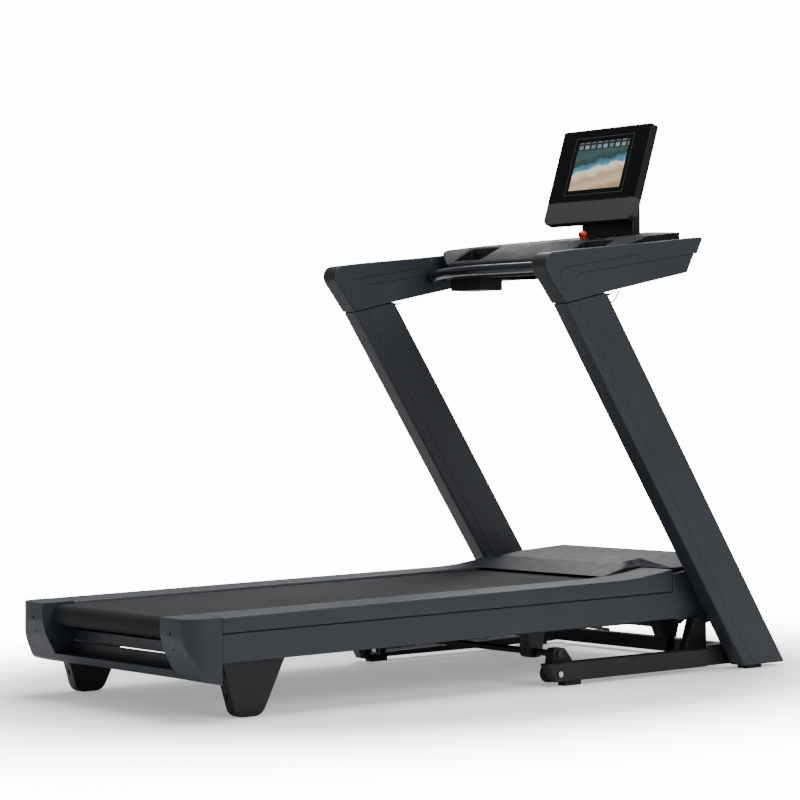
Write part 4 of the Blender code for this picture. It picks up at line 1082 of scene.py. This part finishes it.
@dataclass
class Screen(SubAssembly):
    """Tilting screen: frame, glass, picture, speaker bar, back vents, mast and pin.

    Attributes:
        tilt: how far the screen leans back at rest, in radians.
        picture_width: width of the lit picture.
        picture_height: height of the lit picture.
        line: width of the fine line round the picture.
        margin: how far that line lies outside the picture, both sides together.
        film: thickness of the picture's pane and of the line.
        drop: how far the picture's middle is under the glass's middle.
        vents: vents in each row of the back.
        vent_step: distance from one vent to the next, across and up.
        vent_rise: height of the lowest row over the glass's middle.
    """

    title: str = "screen"
    tilt: float = math.radians(18.4)
    picture_width: float = 0.208
    picture_height: float = 0.150
    line: float = 0.0011
    margin: float = 0.030
    film: float = 0.0002
    drop: float = 0.002
    vents: int = 7
    vent_step: tuple[float, float] = (0.042, 0.014)
    vent_rise: float = 0.060

    def build(self) -> None:
        """Build the screen's pieces."""
        self.find_face()
        self.housing()
        self.refined("screen_glass", "screen", "gloss_black", Finish.WINDOW, 0.0006)
        self.refined("speaker_bar", "screen", "slate_plastic", Finish.SPEAKER, 0.0016)
        self.refined("screen_mast", "stand", "black_plastic", Finish.BLACK, 0.0010)
        self.plain(Finish.STEEL, "tilt_pin")
        self.display()
        self.bezel_line()

    def find_face(self) -> None:
        """Find the middle of the glass and the directions of its face."""
        low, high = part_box("screen_glass")
        self.up = Vector((math.sin(self.tilt), 0.0, math.cos(self.tilt)))
        self.outward = Vector((-math.cos(self.tilt), 0.0, math.sin(self.tilt)))
        middle = (low + high) / 2
        self.centre = Vector((middle.x, 0.0, middle.z)) + self.outward * 0.0015
        self.centre.y = (low.y + high.y) / 2

    def stand_on_face(self, piece: bpy.types.Object, rise: float,
                      lift: float) -> bpy.types.Object:
        """Move a piece made flat at the origin onto the glass.

        Args:
            piece: a piece made in the (x, y) plane, its x across the screen.
            rise: how far its middle is above the glass's middle.
            lift: how far it stands before the glass.

        Returns:
            The same piece, in place.
        """
        across = Vector((0, -1, 0))
        turn = Matrix((across, self.up, self.outward)).transposed().to_4x4()
        place = self.centre + self.up * rise + self.outward * lift
        piece.matrix_world = Matrix.Translation(place) @ turn
        return Bench.settle(piece)

    def display(self) -> None:
        """The lit picture, a thin pane."""
        bpy.ops.object.select_all(action="DESELECT")
        bpy.ops.mesh.primitive_plane_add(size=1.0, calc_uvs=True)
        pane = bpy.context.view_layer.objects.active
        pane.name = "picture_pane"
        pane.scale = (self.picture_width, self.picture_height, 1.0)
        Bench.settle(pane)
        Bench.modify(pane, "SOLIDIFY", thickness=self.film, offset=-1.0)
        Bench.dress(pane, Finish.PICTURE)
        self.stand_on_face(pane, -self.drop, 0.0004)
        self.deliver(pane, "screen", "gloss_black")

    def bezel_line(self) -> None:
        """A fine line on the glass, a finger's width round the picture."""
        bpy.ops.object.select_all(action="DESELECT")
        bpy.ops.mesh.primitive_plane_add(size=1.0)
        line = bpy.context.view_layer.objects.active
        line.name = "bezel_line"
        line.scale = (self.picture_width + self.margin, self.picture_height + self.margin, 1.0)
        Bench.settle(line)
        bpy.ops.object.mode_set(mode="EDIT")
        bpy.ops.mesh.select_all(action="SELECT")
        bpy.ops.mesh.inset(thickness=self.line)
        bpy.ops.mesh.delete(type="FACE")
        bpy.ops.object.mode_set(mode="OBJECT")
        Bench.modify(line, "SOLIDIFY", thickness=self.film, offset=-1.0)
        Bench.dress(line, Finish.LINE)
        self.stand_on_face(line, -self.drop, 0.0003)
        self.deliver(line, "screen", "gloss_black")

    def housing(self) -> None:
        """The frame behind the glass, with rows of vents in its back."""
        shell = Bench.copy_node("screen_housing", "screen_frame")
        Bench.round_edges(shell, 0.0012)
        back = self.centre - self.outward * 0.0260
        for row in range(2):
            for number in range(self.vents):
                across = self.vent_step[0] * (number - (self.vents - 1) / 2)
                rise = self.vent_rise + self.vent_step[1] * row
                slot = Bench.block("vent", (-0.014, -0.002, -0.003), (0.014, 0.002, 0.003))
                turn = Matrix((Vector((0, 1, 0)), self.up, self.outward)).transposed().to_4x4()
                place = back + Vector((0, across, 0)) + self.up * rise
                slot.matrix_world = Matrix.Translation(place) @ turn
                Bench.carve(shell, Bench.settle(slot))
        Bench.smooth(shell, SOFT_BREAK)
        Bench.dress(shell, Finish.BLACK)
        self.deliver(shell, "screen", "black_plastic", "screen_housing")


@dataclass
class Deck(SubAssembly):
    """The running deck: covers, caps, belt, rollers and the drive under the hood.

    Attributes:
        groove: half the width of a seam.
        tilt: how far the deck's front is raised at rest, in radians.
        plateau: half the width of the hood's level top.
        crown: height of the hood's top that slopes at its flanks.
        flank: how much of that height is left at the hood's sides.
        seam_top: height of the upper end of the side panel's seam.
        seam_back: the seam's distance from the panel's front.
        hood_seam: the hood's cross seam behind its front.
        vent_grid: holes of the hood's vent, along and across.
        vent_pitch: distance between those holes.
        foot_height: height of a tail foot.
        foot_run: rearward run of its rear face.
        slot_heights: heights of the slots in that face.
        shoe: height of the foot's rubber.
    """

    title: str = "deck"
    groove: float = 0.0012
    plateau: float = 0.240
    crown: float = 0.036
    flank: float = 0.18
    seam_top: float = 0.235
    seam_back: float = 0.2105
    hood_seam: float = 0.118
    vent_grid: tuple[int, int] = (3, 6)
    vent_pitch: float = 0.009
    foot_height: float = 0.140
    foot_run: float = 0.040
    slot_heights: tuple[float, float] = (0.052, 0.088)
    shoe: float = 0.004
    tilt: float = math.radians(0.75)

    def build(self) -> None:
        """Build the deck's pieces."""
        for side in Side:
            self.side_panel(side)
            self.refined(side.node("foot_rail"), "deck", "slate_plastic", Finish.SLATE)
            self.rear_cap(side)
            self.rear_foot(side)
            self.plain(Finish.PAINT, side.node("frame_rail"))
        self.refined("running_belt", "deck", "belt_rubber", Finish.BELT, 0.0, 40.0)
        self.refined("rear_bar", "deck", "slate_plastic", Finish.SLATE, 0.0018)
        self.hood()
        self.refined("rear_cross_member", "deck", "painted_steel", Finish.SLATE, 0.0)
        self.plain(Finish.PAINT, "motor_plate", "flywheel_pulley")
        self.plain(Finish.WOOD, "running_deck")
        self.plain(Finish.STEEL, "front_roller", "rear_roller")
        self.plain(Finish.BLACK, "belly_pan", "power_inlet")
        self.plain(Finish.ENAMEL, "drive_motor")
        self.plain(Finish.RUBBER, "drive_belt")
        self.plain(Finish.CIRCUIT, "motor_controller")
        self.plain(Finish.PAINT, "strut_cylinder")
        self.plain(Finish.ROD, "strut_rod")

    def side_panel(self, side: Side) -> None:
        """A side panel, with the upright seam where the frame cover starts."""
        node = side.node("side_panel")
        low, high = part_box(node)
        panel = Bench.copy_node(node, f"skirt_{side.label}")
        outer, _ = faces_of(side, low, high)
        seam = high.x - self.seam_back
        lean = math.tan(self.tilt)
        Bench.carve(panel, Bench.cord_cutter("skirt_seam", [
            (seam, outer, low.z), (seam - lean * 0.09, outer, self.seam_top)], self.groove))
        Bench.smooth(panel, SOFT_BREAK)
        Bench.dress(panel, Finish.SLATE)
        self.deliver(panel, "deck", "slate_plastic", node)

    def rear_cap(self, side: Side) -> None:
        """A rear cap with its screws."""
        node = side.node("rear_cap")
        low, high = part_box(node)
        self.refined(node, "deck", "slate_plastic", Finish.SLATE, 0.0, 40.0)
        _, inner = faces_of(side, low, high)
        places = [(low.x + 0.0050, inner + side.value * 0.042, 0.2078),
                  (low.x + 0.0112, inner + side.value * 0.042, 0.1700)]
        for number, place in enumerate(places):
            SCREWS.fasten(f"cap_screw_{side.label}_{number}", "deck", [place], (-1, 0, 0),
                          Finish.BLACK)

    def rear_foot(self, side: Side) -> None:
        """A tapered leg with two slots down its rear face."""
        node = side.node("rear_foot")
        low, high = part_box(node)
        foot = Bench.copy_node(node, f"tail_leg_{side.label}")
        middle = (low.y + high.y) / 2
        for height in self.slot_heights:
            x = low.x + self.foot_run * (self.foot_height - height) / self.foot_height
            slot = Bench.block("slot", (x - 0.012, middle - 0.0035, height - 0.008),
                               (x + 0.008, middle + 0.0035, height + 0.008), 0.003)
            Bench.carve(foot, slot)
        Bench.smooth(foot, SOFT_BREAK)
        Bench.dress(foot, Finish.BLACK,
                    (Finish.RUBBER, lambda face: face.center.z < self.shoe))
        self.deliver(foot, "deck", "rubber", node)

    def hood(self) -> None:
        """The motor hood, with a seam across its top and a small vent."""
        low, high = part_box("motor_hood")
        hood = Bench.copy_node("motor_hood", "hood_shell")
        self.lower_flanks(hood, high)
        Bench.carve(hood, *self.hood_seams(low, high))
        Bench.smooth(hood, SOFT_BREAK)
        Bench.dress(hood, Finish.SLATE)
        self.deliver(hood, "deck", "slate_plastic", "motor_hood")

    def lower_flanks(self, hood: bpy.types.Object, high: Vector) -> None:
        """Slope the hood's top down to the foot rails at its flanks.

        Args:
            hood: the hood's copy.
            high: the upper corner of its box.
        """
        base = high.z - self.crown
        for side in Side:
            Bench.pick(hood)
            bpy.ops.object.mode_set(mode="EDIT")
            bpy.ops.mesh.select_all(action="SELECT")
            bpy.ops.mesh.bisect(plane_co=(0.0, side.value * self.plateau, 0.0),
                                plane_no=(0.0, 1.0, 0.0))
            bpy.ops.mesh.select_all(action="DESELECT")
            bpy.ops.object.mode_set(mode="OBJECT")
            for vertex in hood.data.vertices:
                vertex.select = (side.value * vertex.co.y > self.plateau + 0.002
                                 and vertex.co.z > base)
            bpy.ops.object.mode_set(mode="EDIT")
            bpy.ops.transform.resize(value=(1.0, 1.0, self.flank), center_override=(0, 0, base))
            bpy.ops.object.mode_set(mode="OBJECT")

    def hood_seams(self, low: Vector, high: Vector) -> list[bpy.types.Object]:
        """Cutters for the hood's cross seam and for its vent holes."""
        seam_x = high.x - self.hood_seam
        top = high.z - 0.0046
        cutters = [Bench.cord_cutter("hood_seam", [(seam_x, low.y - 0.01, top),
                                                   (seam_x, high.y + 0.01, top)],
                                     self.groove)]
        rows, columns = self.vent_grid
        for row in range(rows):
            for number in range(columns):
                x = low.x + 0.112 + self.vent_pitch * row
                y = -0.205 - self.vent_pitch * number
                cutters.append(Bench.drum("vent_hole", (x, y, high.z - 0.06),
                                          (x, y, high.z + 0.02), 0.0022, 12))
        return cutters


@dataclass
class Base(SubAssembly):
    """Floor rails, bars, wheels, lift frame and incline actuator."""

    title: str = "base"

    def build(self) -> None:
        """Build the base's pieces."""
        for side in Side:
            self.refined(side.node("base_rail"), "stand", "painted_steel", Finish.PAINT)
            self.wheel(side)
            self.refined(side.node("wheel_bolt"), "stand", "bare_steel", Finish.BOLT, 0.0005)
            self.refined(side.node("lift_arm"), "lift_frame", "painted_steel", Finish.PAINT,
                         0.0015)
        self.refined("base_front_bar", "stand", "painted_steel", Finish.PAINT)
        self.refined("lift_cross_tube", "lift_frame", "painted_steel", Finish.PAINT)
        self.plain(Finish.PAINT, "lift_hinge_bar", "fold_axle")
        self.plain(Finish.ENAMEL, "incline_motor")
        self.plain(Finish.ROD, "incline_pull_tube")

    def wheel(self, side: Side) -> None:
        """A transport wheel with two grooves in its tread and a raised hub."""
        node = side.node("transport_wheel")
        body = f"wheel_{side.label}"
        low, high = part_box(node)
        middle = (low + high) / 2
        radius = (high.z - low.z) / 2
        tyre = Bench.copy_node(node, f"tyre_{side.label}")
        for offset in (-0.0035, 0.0035):
            bpy.ops.object.select_all(action="DESELECT")
            bpy.ops.mesh.primitive_torus_add(
                major_segments=40, minor_segments=8, major_radius=radius, minor_radius=0.0009,
                location=(middle.x, middle.y + offset, middle.z),
                rotation=(math.radians(90), 0.0, 0.0))
            ring = Bench.settle(bpy.context.view_layer.objects.active)
            Bench.carve(tyre, ring)
        Bench.smooth(tyre, 40.0)
        Bench.dress(tyre, Finish.RUBBER)
        self.deliver(tyre, body, "rubber", node)


# ------------------------------------------------------------ studio
@dataclass
class Studio:
    """A white sweep of floor with a painted shade pool round the machine, soft lights and the
    camera.

    Attributes:
        eye: the camera's place.
        heading: how far the view is turned from +Y to +X, in radians.
        drop: how far the view points down, in radians.
        roll: the camera's own lean, in radians.
        lens: focal length in millimetres on a 36 mm sensor.
        room: how brightly the white surround lights the machine.
        backdrop: how bright the surround looks.
        floor_fill: the floor's own light on the machine.
        painted_shade_glow: the floor's own light to the eye beside the machine, kept low there
            as a painted shade pool.
        painted_shade_length: half the length of that painted shade pool.
        painted_shade_width: half its width.
    """

    eye: Point = (-4.4193, -5.1979, 0.7818)
    heading: float = 0.70126
    drop: float = 0.003668
    roll: float = -0.0035866
    lens: float = 112.58
    room: float = 0.42
    backdrop: float = 14.0
    floor_fill: float = 0.05
    # painted shade: the floor's glow to the eye round the machine, kept low as a shade pool
    painted_shade_glow: float = 0.35
    painted_shade_length: float = 1.9
    painted_shade_width: float = 1.35

    def camera(self) -> None:
        """Set the camera at its place."""
        data = bpy.data.cameras.new("studio_camera")
        data.lens = self.lens
        data.sensor_width = 36.0
        data.shift_y = 0.001
        data.clip_end = 200.0
        camera = bpy.data.objects.new("studio_camera", data)
        bpy.context.scene.collection.objects.link(camera)
        forward = Vector((math.sin(self.heading) * math.cos(self.drop),
                          math.cos(self.heading) * math.cos(self.drop), -math.sin(self.drop)))
        right = forward.cross(Vector((0, 0, 1))).normalized()
        up = right.cross(forward)
        level = Matrix((right, up, -forward)).transposed().to_4x4()
        camera.matrix_world = (Matrix.Translation(self.eye) @ level
                               @ Matrix.Rotation(self.roll, 4, "Z"))
        bpy.context.scene.camera = camera

    def floor(self) -> None:
        """A wide pale floor that glows white to the eye, with painted shade: its glow is kept
        low in a pool round the machine.
        """
        bpy.ops.object.select_all(action="DESELECT")
        bpy.ops.mesh.primitive_plane_add(size=120.0, location=(0, 0, 0))
        floor = bpy.context.view_layer.objects.active
        floor.name = "studio_floor"
        Bench.settle(floor)
        sheet = NodeSheet("studio_white")
        sheet.shader.inputs["Base Color"].default_value = (0.90, 0.90, 0.91, 1.0)
        sheet.shader.inputs["Roughness"].default_value = 0.85
        sheet.shader.inputs["Specular IOR Level"].default_value = 0.1
        sheet.shader.inputs["Emission Color"].default_value = (1.0, 1.0, 1.0, 1.0)
        reach = sheet.add("ShaderNodeVectorMath", operation="LENGTH")
        sheet.link(sheet.coordinates((1 / self.painted_shade_length, 1 / self.painted_shade_width, 0.0)),
                   reach.inputs[0])
        # painted shade: the glow to the eye rises from the low value in the pool round the
        # machine to the backdrop's value far off
        painted_shade_fade = sheet.add("ShaderNodeMapRange", interpolation_type="SMOOTHSTEP")
        painted_shade_fade.inputs["From Min"].default_value = 0.55
        painted_shade_fade.inputs["From Max"].default_value = 1.35
        painted_shade_fade.inputs["To Min"].default_value = self.painted_shade_glow
        painted_shade_fade.inputs["To Max"].default_value = self.backdrop
        sheet.link(reach.outputs["Value"], painted_shade_fade.inputs["Value"])
        self.seen_only(sheet.tree, sheet.shader.inputs["Emission Strength"],
                       self.floor_fill, self.backdrop, painted_shade_fade.outputs["Result"])
        floor.data.materials.append(sheet.material)

    @staticmethod
    def seen_only(tree: bpy.types.NodeTree, target: bpy.types.NodeSocket, fill: float,
                  seen: float, seen_socket: Optional[bpy.types.NodeSocket] = None) -> None:
        """Set a strength that is one value to the eye and another as a light.

        Args:
            tree: the node tree.
            target: the strength's socket.
            fill: the strength that lights the machine.
            seen: the strength that the camera sees.
            seen_socket: a socket that gives that strength instead, where it varies.
        """
        path = tree.nodes.new("ShaderNodeLightPath")
        span = tree.nodes.new("ShaderNodeMapRange")
        span.inputs["To Min"].default_value = fill
        span.inputs["To Max"].default_value = seen
        if seen_socket is not None:
            tree.links.new(seen_socket, span.inputs["To Max"])
        tree.links.new(path.outputs["Is Camera Ray"], span.inputs["Value"])
        tree.links.new(span.outputs["Result"], target)

    def lamp(self, name: str, place: Point, aim: Point, size: float, power: float) -> None:
        """A square soft light.

        Args:
            name: the light's name.
            place: where it stands.
            aim: what it points at.
            size: its width.
            power: its power in watts.
        """
        data = bpy.data.lights.new(name, "AREA")
        data.size = size
        data.energy = power
        light = bpy.data.objects.new(name, data)
        light.location = place
        direction = Vector(aim) - Vector(place)
        light.rotation_euler = direction.to_track_quat("-Z", "Y").to_euler()
        bpy.context.scene.collection.objects.link(light)

    def lights(self) -> None:
        """Overhead, side and rim softboxes, and a white surround."""
        self.lamp("overhead", (0.4, 0.2, 4.4), (0.0, 0.0, 0.3), 3.0, 190.0)
        self.lamp("side_box", (0.6, -5.2, 3.2), (0.3, 0.0, 0.9), 2.4, 150.0)
        self.lamp("rim_box", (3.4, 3.0, 3.4), (0.3, 0.0, 0.8), 1.6, 45.0)
        world = bpy.data.worlds.new("studio_world")
        world.use_nodes = True
        background = world.node_tree.nodes["Background"]
        background.inputs["Color"].default_value = (1.0, 1.0, 1.0, 1.0)
        self.seen_only(world.node_tree, background.inputs["Strength"], self.room,
                       self.backdrop)
        bpy.context.scene.world = world

    def build(self) -> None:
        """Set up the studio."""
        self.camera()
        self.floor()
        self.lights()


def main() -> None:
    """Build every group in order."""
    logging.basicConfig(level=logging.INFO, format="%(message)s")
    Studio().build()
    for group in (Uprights(), Arms(), Console(), Screen(), Deck(), Base()):
        group.build()


if __name__ == "__main__":
    main()
